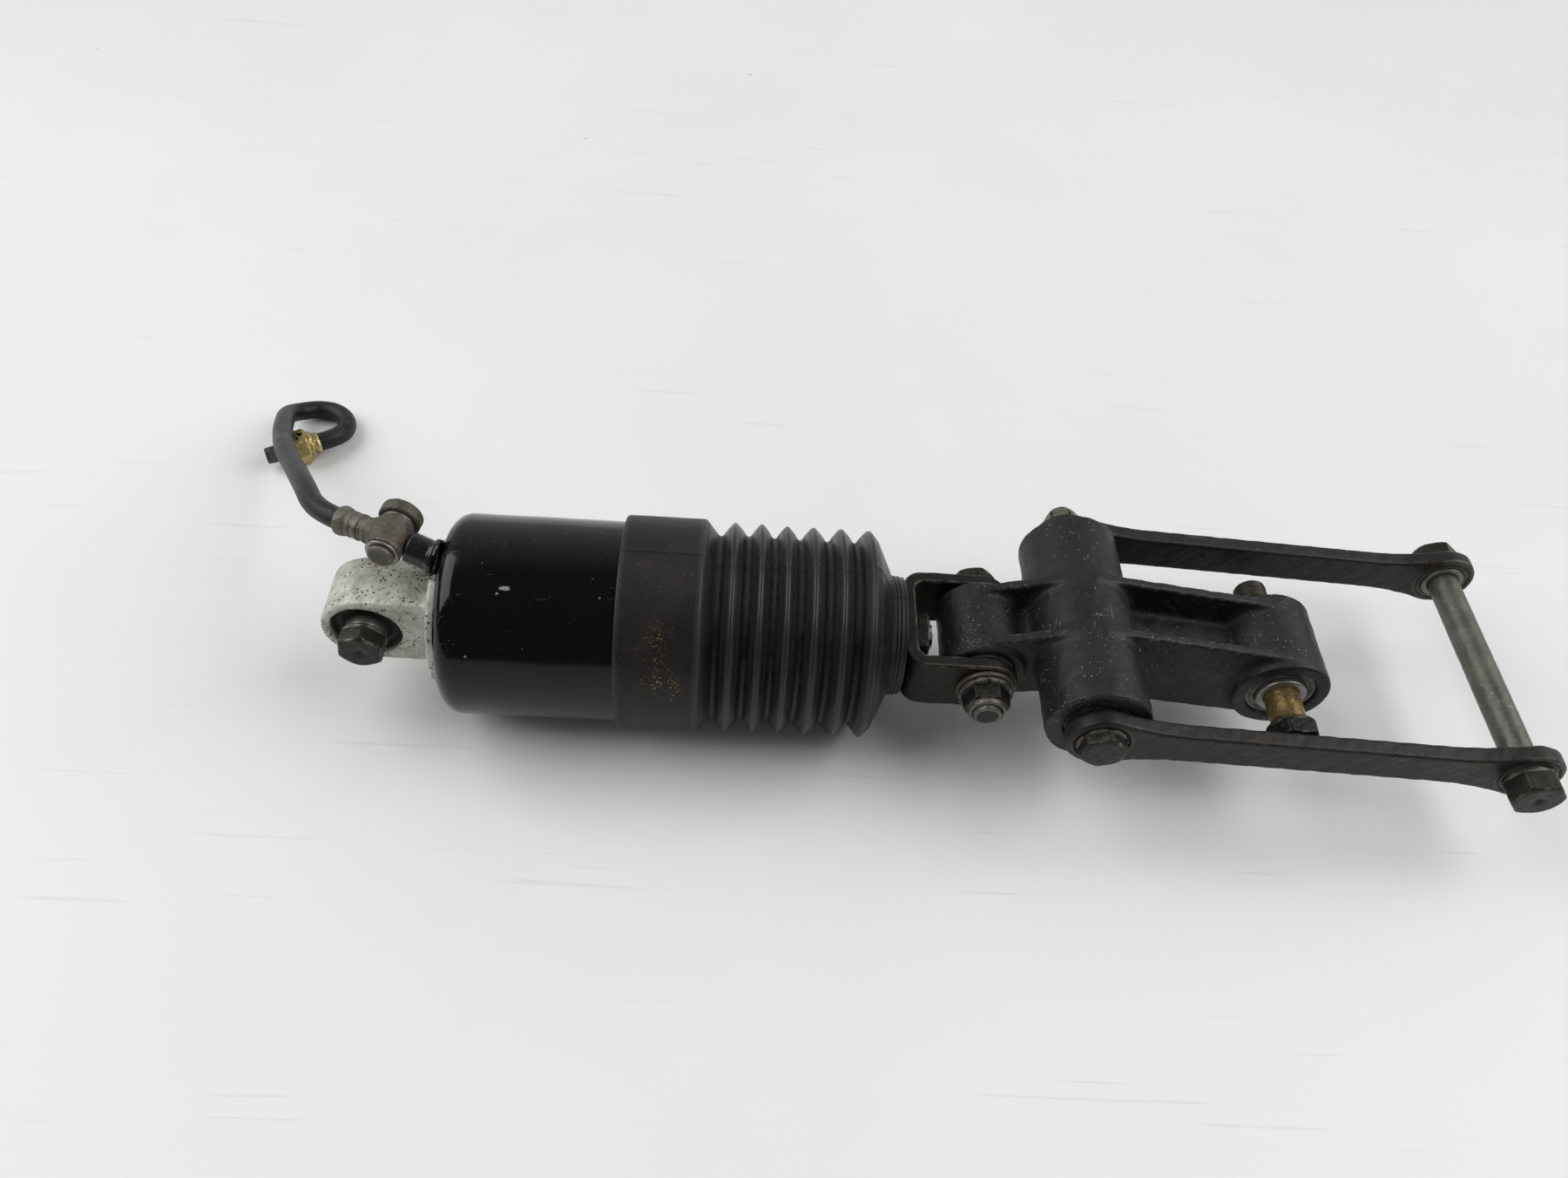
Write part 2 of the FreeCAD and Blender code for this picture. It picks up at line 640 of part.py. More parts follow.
# needle bearings as drawn cups, and lip seals in both mouths of each bore
placed(ring("bore_c - 0.05", "p_sleeve_run", 27.0, ("pc_x", -13.5, 0)), "clevis_pivot_bearing")
placed(group([ring("bore_c - 0.05", "p_sleeve_run + 0.02", 3.8, ("pc_x", -17.4, 0)),
              ring("bore_c - 0.05", "p_sleeve_run + 0.02", 3.8, ("pc_x", 13.6, 0))]), "clevis_pivot_seals")
placed(group([ring("bore_t - 0.05", "p_sleeve_run", 18.0, ("pt_x", -40.0, "pt_z")),
              ring("bore_t - 0.05", "p_sleeve_run", 18.0, ("pt_x", 22.0, "pt_z"))]), "tie_pivot_bearings")
placed(group([ring("bore_t - 0.05", "p_sleeve_run + 0.02", 4.5, ("pt_x", -44.8, "pt_z")),
              ring("bore_t - 0.05", "p_sleeve_run + 0.02", 4.5, ("pt_x", 40.3, "pt_z"))]), "tie_pivot_seals")
placed(ring("bore_f - 0.05", "f_sleeve_run", 28.0, ("pf_x", -14.0, "pf_z")), "frame_pivot_bearing")
placed(group([ring("bore_f - 0.05", "f_sleeve_run + 0.02", 3.6, ("pf_x", -17.8, "pf_z")),
              ring("bore_f - 0.05", "f_sleeve_run + 0.02", 3.6, ("pf_x", 14.2, "pf_z"))]), "frame_pivot_seals")
placed(ring("f_sleeve_rad", "f_bolt_run", "f_sleeve_half * 2", ("pf_x", "0 - f_sleeve_half", "pf_z")), "frame_pivot_sleeve")
placed(fuse([
    cyl("f_bolt_rad", "f_sleeve_half - f_head_y + 1", ("pf_x", "f_head_y - 1", "pf_z")),
    cyl("f_relief_rad", "relief + 2", ("pf_x", "f_sleeve_half - 1", "pf_z")),
    cyl("f_thread_rad", "f_bolt_end - f_sleeve_half - relief", ("pf_x", "f_sleeve_half + relief", "pf_z")),
    hexagon("af_big", "f_head_high", ("pf_x", "f_head_y - f_head_high", "pf_z"), "Y", 30.0),
]), "frame_pivot_bolt")

# =====================================================================
# Tie rods and their bolts
# =====================================================================
bar_len = math.hypot(D["pe_x"] - D["pt_x"], D["pe_z"] - D["pt_z"])
slope = math.degrees(math.atan2(D["pt_z"] - D["pe_z"], D["pe_x"] - D["pt_x"]))
dim("tie_len", bar_len, "between the eyes of a tie rod")
doc.recompute()
TILT = Rotation(Vector(0, 1, 0), slope)


def tie_rod(label, side):
    """A flat forged link: two round eyes and a slimmer bar that flares into them."""
    y0 = "rod_in" if side > 0 else "0 - rod_in - rod_thick"
    link = doc.addObject("PartDesign::Body", label + "_bar")
    sk = body_sketch(link, label + "_outline", "XZ_Plane", [
        (0, "rod_eye - 0.6"), (7, "rod_eye - 1.6"), (16, "rod_bar + 2"), (30, "rod_bar"),
        ("tie_len - 30", "rod_bar"), ("tie_len - 16", "rod_bar + 2"), ("tie_len - 7", "rod_eye - 1.6"), ("tie_len", "rod_eye - 0.6"),
        ("tie_len", "0.6 - rod_eye"), ("tie_len - 7", "1.6 - rod_eye"), ("tie_len - 16", "0 - rod_bar - 2"), ("tie_len - 30", "0 - rod_bar"),
        (30, "0 - rod_bar"), (16, "0 - rod_bar - 2"), (7, "1.6 - rod_eye"), (0, "0.6 - rod_eye"),
    ])
    pad = link.newObject("PartDesign::Pad", label + "_pad")
    pad.Profile = sk
    pad.setExpression("Length", "Dims.rod_thick")
    pad.Reversed = True
    doc.recompute()
    if link.Shape.BoundBox.YMin < -1e-6:
        pad.Reversed = False
        doc.recompute()
    near_bore = "bolt_rad + 0.1"
    bar = cut(fuse([link, cyl("rod_eye", "rod_thick", (0, 0, 0)), cyl("rod_eye", "rod_thick", ("tie_len", 0, 0))]), [
        cyl(near_bore, "rod_thick + 2", (0, -1, 0)),
        cyl("bush_out", "rod_thick + 2", ("tie_len", -1, 0)),
    ])
    return placed(bar, label, ("pt_x", y0, "pt_z"), TILT)


tie_rod("tie_rod_front", -1)
tie_rod("tie_rod_back", 1)
placed(ring("p_sleeve_rad", "bolt_rad + 0.1", "t_sleeve_half * 2", ("pt_x", "0 - t_sleeve_half", "pt_z")), "tie_pivot_sleeve")
placed(fuse([
    cyl("bolt_rad", "t_bolt_end + rod_in + rod_thick", ("pt_x", "0 - rod_in - rod_thick", "pt_z")),
    hexagon("af_bolt", "t_head_high", ("pt_x", "0 - rod_in - rod_thick - t_head_high", "pt_z"), "Y", 5.0),
]), "tie_pivot_bolt")
placed(cut(fuse([
    cyl(8.6, 1.8, ("pt_x", "rod_in + rod_thick", "pt_z")),
    hexagon(14.8, "t_nut_high", ("pt_x", "rod_in + rod_thick", "pt_z"), "Y", 12.0),
]), [cyl("bolt_rad + 0.05", 14, ("pt_x", "rod_in + rod_thick - 2", "pt_z"))]), "tie_pivot_nut")
placed(group([
    ring("bush_out - 0.05", "shaft_run", "rod_thick + 1.2", ("pe_x", "rod_in - 0.9", "pe_z")),
    ring("bush_out - 0.05", "shaft_run", "rod_thick + 1.2", ("pe_x", "0 - rod_in - rod_thick - 0.3", "pe_z")),
]), "tie_end_bushes")
placed(fuse([
    cyl("shaft_rad", "e_bolt_end + rod_in + rod_thick + 0.5", ("pe_x", "0 - rod_in - rod_thick - 0.5", "pe_z")),
    cyl("af_big / 2 + 0.4", 1.0, ("pe_x", "0 - rod_in - rod_thick - 1.5", "pe_z")),
    hexagon("af_big", "e_head_high", ("pe_x", "0 - rod_in - rod_thick - 1.2 - e_head_high", "pe_z"), "Y", 20.0),
]), "far_bolt")
placed(cut(fuse([
    cyl("af_big / 2 + 1.2", 2.0, ("pe_x", "rod_in + rod_thick + 0.5", "pe_z")),
    hexagon("af_big", "e_nut_high", ("pe_x", "rod_in + rod_thick + 0.5", "pe_z"), "Y", 8.0),
]), [cyl("shaft_rad + 0.05", 14, ("pe_x", "rod_in + rod_thick - 2", "pe_z"))]), "far_nut")

# =====================================================================
# Air line: stub, banjo union, hose, valve
# =====================================================================
stub = cut(cyl("stub_rad", stub_len, (0, 0, 0), "Z"), [cyl("stub_bore", stub_len + 2, (0, 0, -1), "Z")])
stub = cut(fuse([stub, cyl("stub_rad + 1.3", 2.2, (0, 0, 0.4), "Z")]), [box((4, 40, 40), (0, 0, 0))])
block = stub.Tool
# the end wall's outer face trims the stub's foot
block.Placement = Placement(STUB_ROT.inverted().multVec(Vector(D["can_start"] - 0.0, -20, 10) - S0), STUB_ROT.inverted())
placed(stub, "air_stub", (S0.x, S0.y, S0.z), STUB_ROT)

union_ax = Rotation(Vector(0, 0, 1), -10) * TO_Y        # the banjo bolt's line
UA = union_ax.multVec(Vector(0, 0, 1))
hose_dir = Vector(-0.905, 0.415, -0.09).normalize()
TO_HOSE = Rotation(Vector(0, 0, 1), hose_dir)


def at(base, direction, dist):
    return base + direction * dist


def solid_cyl(rad, high, start, direction):
    return Part.makeCylinder(rad, high, start, direction)


body_u = solid_cyl(D["banjo_rad"], D["banjo_half"] * 2, at(S1, UA, -D["banjo_half"]), UA)
arm_u = solid_cyl(4.6, 12.6, S1, hose_dir)
neck_u = solid_cyl(5.2, 2.0, at(S1, hose_dir, 10.6), hose_dir)
nip_u = solid_cyl(2.4, 10.0, at(S1, hose_dir, 12.0), hose_dir)
hole_u = solid_cyl(D["banjo_bore"], D["banjo_half"] * 2 + 4, at(S1, UA, -D["banjo_half"] - 2), UA)
union = doc.addObject("Part::Feature", "banjo_union_body")
union.Shape = body_u.fuse([arm_u, neck_u, nip_u]).cut(hole_u).removeSplitter()
placed(union, "banjo_union")
bolt_b = solid_cyl(D["banjo_shank"], D["banjo_half"] * 2 + 4.2, at(S1, UA, -D["banjo_half"] - 3.2), UA)
head_b = solid_cyl(D["banjo_head"], 5.0, at(S1, UA, D["banjo_half"] + 1.0), UA)
crown_b = Part.makeCone(D["banjo_head"], D["banjo_head"] - 1.5, 1.2, at(S1, UA, D["banjo_half"] + 6.0), UA)
tip_b = solid_cyl(5.2, 2.2, at(S1, UA, -D["banjo_half"] - 3.2), UA)
bolt = doc.addObject("Part::Feature", "banjo_bolt_body")
bolt.Shape = bolt_b.fuse([head_b, crown_b, tip_b]).removeSplitter()
placed(bolt, "banjo_bolt")
washers = []
for d in (D["banjo_half"], -D["banjo_half"] - 1.0):
    washers.append(solid_cyl(6.6, 1.0, at(S1, UA, d), UA).cut(solid_cyl(D["banjo_bore"], 3.0, at(S1, UA, d - 1), UA)))
wash = doc.addObject("Part::Feature", "banjo_washers_body")
wash.Shape = Part.makeCompound(washers)
placed(wash, "banjo_washers")

FER0 = at(S1, hose_dir, 12.6)
ferr = doc.addObject("Part::Feature", "hose_ferrule_body")
outer_f = solid_cyl(D["ferrule_rad"], 11.0, FER0, hose_dir).fuse(solid_cyl(D["ferrule_rad"] + 0.6, 1.6, at(FER0, hose_dir, 9.4), hose_dir))
ferr.Shape = outer_f.cut(solid_cyl(D["hose_rad"] + 0.05, 12.0, at(FER0, hose_dir, 1.2), hose_dir)).cut(solid_cyl(2.5, 4.0, at(FER0, hose_dir, -1.0), hose_dir)).removeSplitter()
placed(ferr, "hose_ferrule")

# Hose route: corner points of the centre line, from the ferrule to the valve fitting.
bench = -D["shift_z"]
low = bench + D["hose_rad"] + 0.1
EXIT = at(FER0, hose_dir, 11.0)
axis_v = Vector(-0.882, -0.471, 0.0).normalize()
VALVE0 = Vector(-62.6, 129.0, bench + D["brass_af"] / 2 + 0.15)   # hose end of the brass fitting
route = [
    EXIT,
    EXIT + hose_dir * 13.0,
    Vector(-32.6, 41.6, 26.2),
    Vector(-46.3, 64.9, 13.4),
    Vector(-58.8, 85.8, 1.2),
    Vector(-68.7, 106.2, -10.1),
    Vector(-76.4, 127.2, -21.1),
    Vector(-81.8, 143.7, -30.8),
    Vector(-78.1, 151.9, -36.1),
    Vector(-70.2, 156.4, low + 0.2),
    Vector(-61.2, 155.3, low),
    Vector(-54.6, 149.1, low + 0.1),
    Vector(-52.9, 140.2, low + 1.3),
    Vector(-56.8, 132.1, VALVE0.z),
    VALVE0,
]


def filleted_path(points):
    """Straight runs joined by tangent arcs, each as large as its two runs allow."""
    edges, radii = [], []
    start = points[0]
    for i in range(1, len(points) - 1):
        a, p, c = points[i - 1], points[i], points[i + 1]
        u, v = (a - p), (c - p)
        run = min(u.Length, v.Length)
        u.normalize()
        v.normalize()
        half_turn = (math.pi - u.getAngle(v)) / 2
        cut_back = 0.45 * run
        radius = cut_back / math.tan(half_turn)
        t0, t1 = p + u * cut_back, p + v * cut_back
        bis = (u + v).normalize()
        centre = p + bis * (radius / math.cos(half_turn))
        mid = centre - bis * radius
        edges.append(Part.LineSegment(start, t0).toShape())
        edges.append(Part.Arc(t0, mid, t1).toShape())
        start = t1
        radii.append(round(radius, 1))
    edges.append(Part.LineSegment(start, points[-1]).toShape())
    return Part.Wire(edges), radii


path, radii = filleted_path(route)
first = (route[1] - route[0]).normalize()
section = Part.Wire([Part.makeCircle(D["hose_rad"], route[0], first)])
tube = path.makePipeShell([section], True, False)
grip = solid_cyl(D["hose_rad"], 9.6, at(FER0, hose_dir, 1.4), hose_dir).cut(solid_cyl(2.5, 10.0, at(FER0, hose_dir, 0.9), hose_dir))
hose = doc.addObject("Part::Feature", "air_hose_body")
hose.Shape = tube
placed(hose, "air_hose")
length = path.Length
print("hose length %.1f mm, radii %s" % (length, radii))
print("hose volume %.0f, section x length %.0f" % (tube.Volume, math.pi * D["hose_rad"] ** 2 * length))
print("exit angle %.1f deg" % math.degrees(first.getAngle(hose_dir)))

# Valve end: crimp collar, brass hexagon, threaded stem, pin and cap.
TO_VALVE = Rotation(Vector(0, 0, 1), axis_v)


def along_valve(obj, label):
    return placed(obj, label, (VALVE0.x, VALVE0.y, VALVE0.z), TO_VALVE)


along_valve(cut(fuse([
    cyl("hose_rad + 0.7", 4.2, (0, 0, 0), "Z"),
    cyl(6.6, 3.4, (0, 0, 3.2), "Z"),
    hexagon("brass_af", 7.6, (0, 0, 5.2), "Z", 0.0),
    cyl(6.2, 3.0, (0, 0, 12.2), "Z"),
    cyl(2.9, 9.6, (0, 0, 14.0), "Z"),
]), [cyl(1.5, 26, (0, 0, 3), "Z")]), "valve_fitting")
along_valve(fuse([cyl(1.35, 12, (0, 0, 9.0), "Z"), cyl(0.7, 4, (0, 0, 19.4), "Z")]), "valve_core")
along_valve(cut(cyl("cap_rad", 10.4, (0, 0, 15.6), "Z"), [cyl(2.98, 9.2, (0, 0, 14.6), "Z")]), "valve_cap")

# =====================================================================
# Check and write
# =====================================================================
doc.recompute()
bad = []
for obj in doc.Objects:
    state = set(getattr(obj, "State", []))
    if state & {"Invalid", "Error"}:
        bad.append((obj.Name, obj.Label, sorted(state)))
if bad:
    raise RuntimeError("failed objects: %s" % bad)
names = [n for n, o in NODES]
if len(set(names)) != len(names) or len(names) > 60:
    raise RuntimeError("node names")
for label, obj in NODES:
    shape = obj.Shape
    if shape.isNull() or not shape.isValid() or not shape.Solids:
        raise RuntimeError("bad shape: " + label)
    if not label.endswith(("seals", "bearings", "bushes", "washers")) and len(shape.Solids) != 1:
        raise RuntimeError("%s has %d solids" % (label, len(shape.Solids)))
for label, obj in NODES:
    obj.Shape.exportStep(os.path.join("parts", label + ".step"))
cords = {"air_hose", "valve_fitting", "valve_core", "valve_cap"}
bb = FreeCAD.BoundBox()
for label, obj in NODES:
    if label not in cords:
        bb.add(obj.Shape.BoundBox)
print("nodes", len(NODES))
print("box without the hose: x %.2f %.2f  y %.2f %.2f  z %.2f %.2f" % (bb.XMin, bb.XMax, bb.YMin, bb.YMax, bb.ZMin, bb.ZMax))
print("volume mm3:", {n: round(o.Shape.Volume) for n, o in NODES})
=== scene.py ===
"""Looks of the rear shock absorber and its linkage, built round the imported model.

Shapes are written in millimetres from the centre of the upper eye, +X along the
damper, +Y along the pivots and +Z up, and are moved to the row frame as they are made.
"""
import bpy, bmesh, math
import numpy as np
from mathutils import Matrix, Vector


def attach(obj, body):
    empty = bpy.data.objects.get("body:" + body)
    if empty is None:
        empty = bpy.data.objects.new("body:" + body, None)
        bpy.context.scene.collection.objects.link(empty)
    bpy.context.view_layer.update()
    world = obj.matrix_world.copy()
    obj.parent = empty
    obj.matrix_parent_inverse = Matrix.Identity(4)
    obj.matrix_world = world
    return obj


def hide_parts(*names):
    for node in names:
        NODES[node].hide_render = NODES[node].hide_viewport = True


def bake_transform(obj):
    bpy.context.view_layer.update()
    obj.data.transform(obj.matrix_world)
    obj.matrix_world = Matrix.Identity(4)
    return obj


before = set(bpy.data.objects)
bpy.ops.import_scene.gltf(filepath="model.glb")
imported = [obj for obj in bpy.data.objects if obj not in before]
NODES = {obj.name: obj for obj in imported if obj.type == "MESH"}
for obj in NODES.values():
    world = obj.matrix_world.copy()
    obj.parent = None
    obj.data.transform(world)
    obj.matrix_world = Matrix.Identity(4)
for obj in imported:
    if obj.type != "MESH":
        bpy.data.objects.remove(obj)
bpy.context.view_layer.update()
scene = bpy.context.scene
SHIFT = np.array([-230.8, -0.8, 42.7])
COARSE = 1.0
X, Y, Z = np.eye(3)


def row(p):
    return (np.asarray(p, float) + SHIFT) / 1000.0


def unit(v):
    v = np.asarray(v, float)
    return v / np.linalg.norm(v)


# ---------------------------------------------------------------------
# Camera
# ---------------------------------------------------------------------
cam_data = bpy.data.cameras.new("camera")
cam_data.sensor_fit = "HORIZONTAL"
cam_data.sensor_width = 36.0
cam_data.lens = 1363.6 * 36.0 / 1800.0
cam_data.clip_start, cam_data.clip_end = 0.01, 50.0
cam = bpy.data.objects.new("camera", cam_data)
scene.collection.objects.link(cam)
right = (0.9975444, 0.01362555, 0.06869873)
up = (-0.05428455, 0.7702055, 0.63548146)
back = (-0.04425336, -0.63765025, 0.76905384)
cam.matrix_world = Matrix((
    (right[0], up[0], back[0], -0.08524),
    (right[1], up[1], back[1], -0.3020),
    (right[2], up[2], back[2], 0.43221),
    (0, 0, 0, 1)))
scene.camera = cam

# ---------------------------------------------------------------------
# Air hose: the route's points, in metres
# ---------------------------------------------------------------------
HOSE = [
    (-0.239865, 0.014997, 0.077575), (-0.251634, 0.020393, 0.076405), (-0.2634, 0.0408, 0.0689),
    (-0.2771, 0.0641, 0.0561), (-0.2896, 0.0850, 0.0439), (-0.2995, 0.1054, 0.0326),
    (-0.3072, 0.1264, 0.0216), (-0.3126, 0.1429, 0.0119), (-0.3089, 0.1511, 0.0066),
    (-0.3010, 0.1556, 0.0048), (-0.2920, 0.1545, 0.0046), (-0.2854, 0.1483, 0.0047),
    (-0.2837, 0.1394, 0.0059), (-0.2876, 0.1313, 0.00815), (-0.2934, 0.1282, 0.00815),
]
curve = bpy.data.curves.new("air_hose_rubber", "CURVE")
curve.dimensions = "3D"
spline = curve.splines.new("NURBS")
spline.points.add(len(HOSE) - 1)
for point, xyz in zip(spline.points, HOSE):
    point.co = (*xyz, 1.0)
    point.radius = 0.0045
spline.order_u = 3
spline.use_endpoint_u = True
spline.resolution_u = 10
curve.bevel_depth = 1.0
curve.bevel_resolution = 8
curve.use_fill_caps = True
hose = bpy.data.objects.new("air_hose_rubber", curve)
scene.collection.objects.link(hose)
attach(hose, "canister_body")
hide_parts("air_hose")


# ---------------------------------------------------------------------
# Materials
# ---------------------------------------------------------------------
class Tree:
    def __init__(self, name):
        self.mat = bpy.data.materials.new(name)
        self.mat.use_nodes = True
        self.t = self.mat.node_tree
        self.bsdf = next(n for n in self.t.nodes if n.type == "BSDF_PRINCIPLED")
        self.co = self.t.nodes.new("ShaderNodeTexCoord").outputs["Object"]

    def link(self, a, b):
        self.t.links.new(a, b)

    def noise(self, scale, detail=4.0, rough=0.55, co=None, dist=0.0):
        n = self.t.nodes.new("ShaderNodeTexNoise")
        n.inputs["Scale"].default_value = scale
        n.inputs["Detail"].default_value = detail
        n.inputs["Roughness"].default_value = rough
        n.inputs["Distortion"].default_value = dist
        self.link(co or self.co, n.inputs["Vector"])
        return n.outputs["Fac"]

    def voronoi(self, scale, co=None, feature="F1", rand=1.0):
        n = self.t.nodes.new("ShaderNodeTexVoronoi")
        n.feature = feature
        n.inputs["Scale"].default_value = scale
        n.inputs["Randomness"].default_value = rand
        self.link(co or self.co, n.inputs["Vector"])
        return n.outputs["Distance"]

    def mapped(self, scale, turn=(0, 0, 0), shift=(0, 0, 0)):
        n = self.t.nodes.new("ShaderNodeMapping")
        n.inputs["Scale"].default_value = scale
        n.inputs["Rotation"].default_value = turn
        n.inputs["Location"].default_value = shift
        self.link(self.co, n.inputs["Vector"])
        return n.outputs["Vector"]

    def step(self, value, a, b, out=(0.0, 1.0)):
        n = self.t.nodes.new("ShaderNodeMapRange")
        n.interpolation_type = "SMOOTHSTEP"
        n.inputs["From Min"].default_value = a
        n.inputs["From Max"].default_value = b
        n.inputs["To Min"].default_value = out[0]
        n.inputs["To Max"].default_value = out[1]
        self.link(value, n.inputs["Value"])
        return n.outputs["Result"]

    def math(self, op, a, b=None, clamp=False):
        n = self.t.nodes.new("ShaderNodeMath")
        n.operation = op
        n.use_clamp = clamp
        for i, v in enumerate((a, b)):
            if v is None:
                continue
            if isinstance(v, (int, float)):
                n.inputs[i].default_value = v
            else:
                self.link(v, n.inputs[i])
        return n.outputs[0]

    def mix(self, fac, a, b):
        n = self.t.nodes.new("ShaderNodeMix")
        n.data_type = "RGBA"
        if isinstance(fac, (int, float)):
            n.inputs[0].default_value = fac
        else:
            self.link(fac, n.inputs[0])
        for i, v in ((6, a), (7, b)):
            if isinstance(v, tuple):
                n.inputs[i].default_value = (*v, 1.0)
            else:
                self.link(v, n.inputs[i])
        return n.outputs[2]

    def attribute(self, name):
        n = self.t.nodes.new("ShaderNodeAttribute")
        n.attribute_name = name
        return n.outputs["Fac"]

    def near(self, centre, radius, soft, squash=(1, 1, 1)):
        """1 inside a ragged spot round a point of the row frame."""
        n = self.t.nodes.new("ShaderNodeMapping")
        n.vector_type = "TEXTURE"
        n.inputs["Location"].default_value = centre
        n.inputs["Scale"].default_value = tuple(radius * s for s in squash)
        self.link(self.co, n.inputs["Vector"])
        l = self.t.nodes.new("ShaderNodeVectorMath")
        l.operation = "LENGTH"
        self.link(n.outputs["Vector"], l.inputs[0])
        wob = self.math("MULTIPLY", self.noise(700, 3), soft)
        return self.step(self.math("ADD", l.outputs["Value"], wob), 1.0 + soft * 0.5, 0.7 + soft * 0.25)

    def bump(self, heights):
        last = None
        for height, strength, distance in heights:
            n = self.t.nodes.new("ShaderNodeBump")
            n.inputs["Strength"].default_value = strength
            n.inputs["Distance"].default_value = distance
            self.link(height, n.inputs["Height"])
            if last is not None:
                self.link(last, n.inputs["Normal"])
            last = n.outputs["Normal"]
        self.link(last, self.bsdf.inputs["Normal"])


def surface(name, base, second, rough, metal=0.0, blotch=70.0, grain=1400.0, grain_bump=0.3,
            cast_bump=0.0, edge=None, edge_amount=1.0, hollow_tint=None, specks=None, speck_scale=420.0,
            speck_size=0.16, pits=None, rust=None, rust_amount=0.5, scratch=None, coat=0.0,
            coat_rough=0.1, spec=0.5, spots=(), lines=0.0):
    """One finish: mottled base colour, grain, worn edges, a tint in the hollows, specks, pits, rust and scratches."""
    if max(second) < 0.08:                       # the dark finishes are matt and deep
        base, second = tuple(c * 0.55 for c in base), tuple(c * 0.6 for c in second)
        spec = min(spec, 0.3)
    t = Tree(name)
    b = t.bsdf
    b.inputs["Metallic"].default_value = metal
    b.inputs["Specular IOR Level"].default_value = spec
    b.inputs["Coat Weight"].default_value = coat
    b.inputs["Coat Roughness"].default_value = coat_rough
    cloud = t.noise(blotch, 5.0, 0.6)
    fine = t.noise(grain, 3.0, 0.6)
    colour = t.mix(t.step(cloud, 0.35, 0.68), base, second)
    tone = t.step(fine, 0.2, 0.8)
    colour = t.mix(t.math("MULTIPLY", tone, 0.35), colour, tuple(min(1.0, c * 1.7) for c in second))
    r = t.step(t.math("ADD", t.math("MULTIPLY", cloud, 0.6), t.math("MULTIPLY", fine, 0.4)), 0.3, 0.7, rough)
    heights = [(fine, grain_bump, 0.00012)]
    if cast_bump:
        heights.append((t.noise(260, 3.0, 0.6), cast_bump, 0.0005))
    # colour laid in patches into the hollows the cave attribute finds: lighter dust on the dark finishes, darker
    # hollows on the light metals
    if hollow_tint:
        d = t.math("MULTIPLY", t.step(t.attribute("cave"), 0.02, 0.35), t.step(t.noise(160, 4), 0.3, 0.62))
        colour = t.mix(d, colour, hollow_tint)
        r = t.math("ADD", r, t.math("MULTIPLY", d, 0.2))
    if scratch:
        m = None
        for turn, sc in (((0.3, 0.2, 0.5), (60, 900, 700)), ((0.1, 0.9, -0.4), (900, 70, 800))):
            line = t.noise(1.0, 2.0, 0.5, t.mapped(sc, turn))
            line = t.math("MULTIPLY", t.step(line, 0.66, 0.72), t.step(t.noise(75, 2), 0.5, 0.62))
            m = line if m is None else t.math("MAXIMUM", m, line)
        colour = t.mix(t.math("MULTIPLY", m, scratch[1]), colour, scratch[0])
        heights.append((t.math("MULTIPLY", m, -1.0), 0.25, 0.0001))
    if edge:
        ragged = t.math("ADD", t.attribute("edge"), t.math("MULTIPLY", t.math("SUBTRACT", t.noise(420, 5, 0.65), 0.5), 0.34))
        e = t.math("MULTIPLY", t.step(ragged, 0.1, 0.24), edge_amount)
        colour = t.mix(e, colour, edge)
        r = t.math("SUBTRACT", r, t.math("MULTIPLY", e, 0.1))
    if specks:
        v = t.voronoi(speck_scale)
        m = t.math("MULTIPLY", t.step(v, speck_size, speck_size * 0.6), t.step(t.noise(95, 4), 0.46, 0.62))
        colour = t.mix(m, colour, specks)
    if pits:
        v = t.voronoi(pits[1])
        m = t.math("MULTIPLY", t.step(v, pits[2], pits[2] * 0.5), t.step(t.noise(110, 4, 0.65), 0.42, 0.56))
        colour = t.mix(m, colour, pits[0])
        heights.append((t.math("MULTIPLY", m, -1.0), 0.6, 0.0003))
    if rust:
        m = t.math("MULTIPLY", t.step(t.noise(120, 6, 0.7), 0.60, 0.68), t.step(t.noise(520, 4, 0.7), 0.45, 0.6))
        m = t.math("MULTIPLY", m, rust_amount)
        colour = t.mix(m, colour, rust)
        r = t.math("ADD", r, t.math("MULTIPLY", m, 0.25))
    for centre, radius, soft, squash, tint in spots:
        spot = t.near(centre, radius, soft, squash)
        if soft >= 2:
            spot = t.math("MULTIPLY", spot, t.step(t.noise(950, 4, 0.7), 0.57, 0.64))
        else:
            spot = t.math("MULTIPLY", spot, t.step(t.noise(1600, 3, 0.7), 0.36, 0.5))
        colour = t.mix(spot, colour, tint)
    t.link(colour, b.inputs["Base Color"])
    t.link(t.math("MINIMUM", t.math("MAXIMUM", r, 0.04), 0.95), b.inputs["Roughness"])
    t.bump(heights)
    return t.mat


def at_row(x, y, z):
    return tuple(float(v) for v in row((x, y, z)))


OCHRE = (0.32, 0.17, 0.05)
RUST = (0.16, 0.065, 0.025)
M = {}
M["cast_aluminium"] = surface(
    "cast_aluminium", (0.60, 0.59, 0.53), (0.36, 0.35, 0.30), (0.4, 0.62), metal=0.2, blotch=190, grain=1300,
    grain_bump=0.6, cast_bump=0.5, edge=(0.50, 0.50, 0.47), edge_amount=0.55, hollow_tint=(0.07, 0.06, 0.045),
    pits=((0.045, 0.04, 0.033), 610, 0.38), specks=(0.66, 0.65, 0.6), speck_scale=520, rust=(0.07, 0.06, 0.045), rust_amount=0.95,
    spots=[(at_row(26.0, -12.8, 2.0), 0.0085, 2.6, (0.8, 1.0, 1.6), (0.035, 0.032, 0.026)),
           (at_row(12.0, -2.0, 17.8), 0.0120, 2.7, (1.3, 1.0, 1.0), (0.045, 0.042, 0.034)),
           (at_row(27.0, -12.8, -12.0), 0.0080, 2.6, (0.8, 1.0, 1.0), (0.03, 0.026, 0.02))])
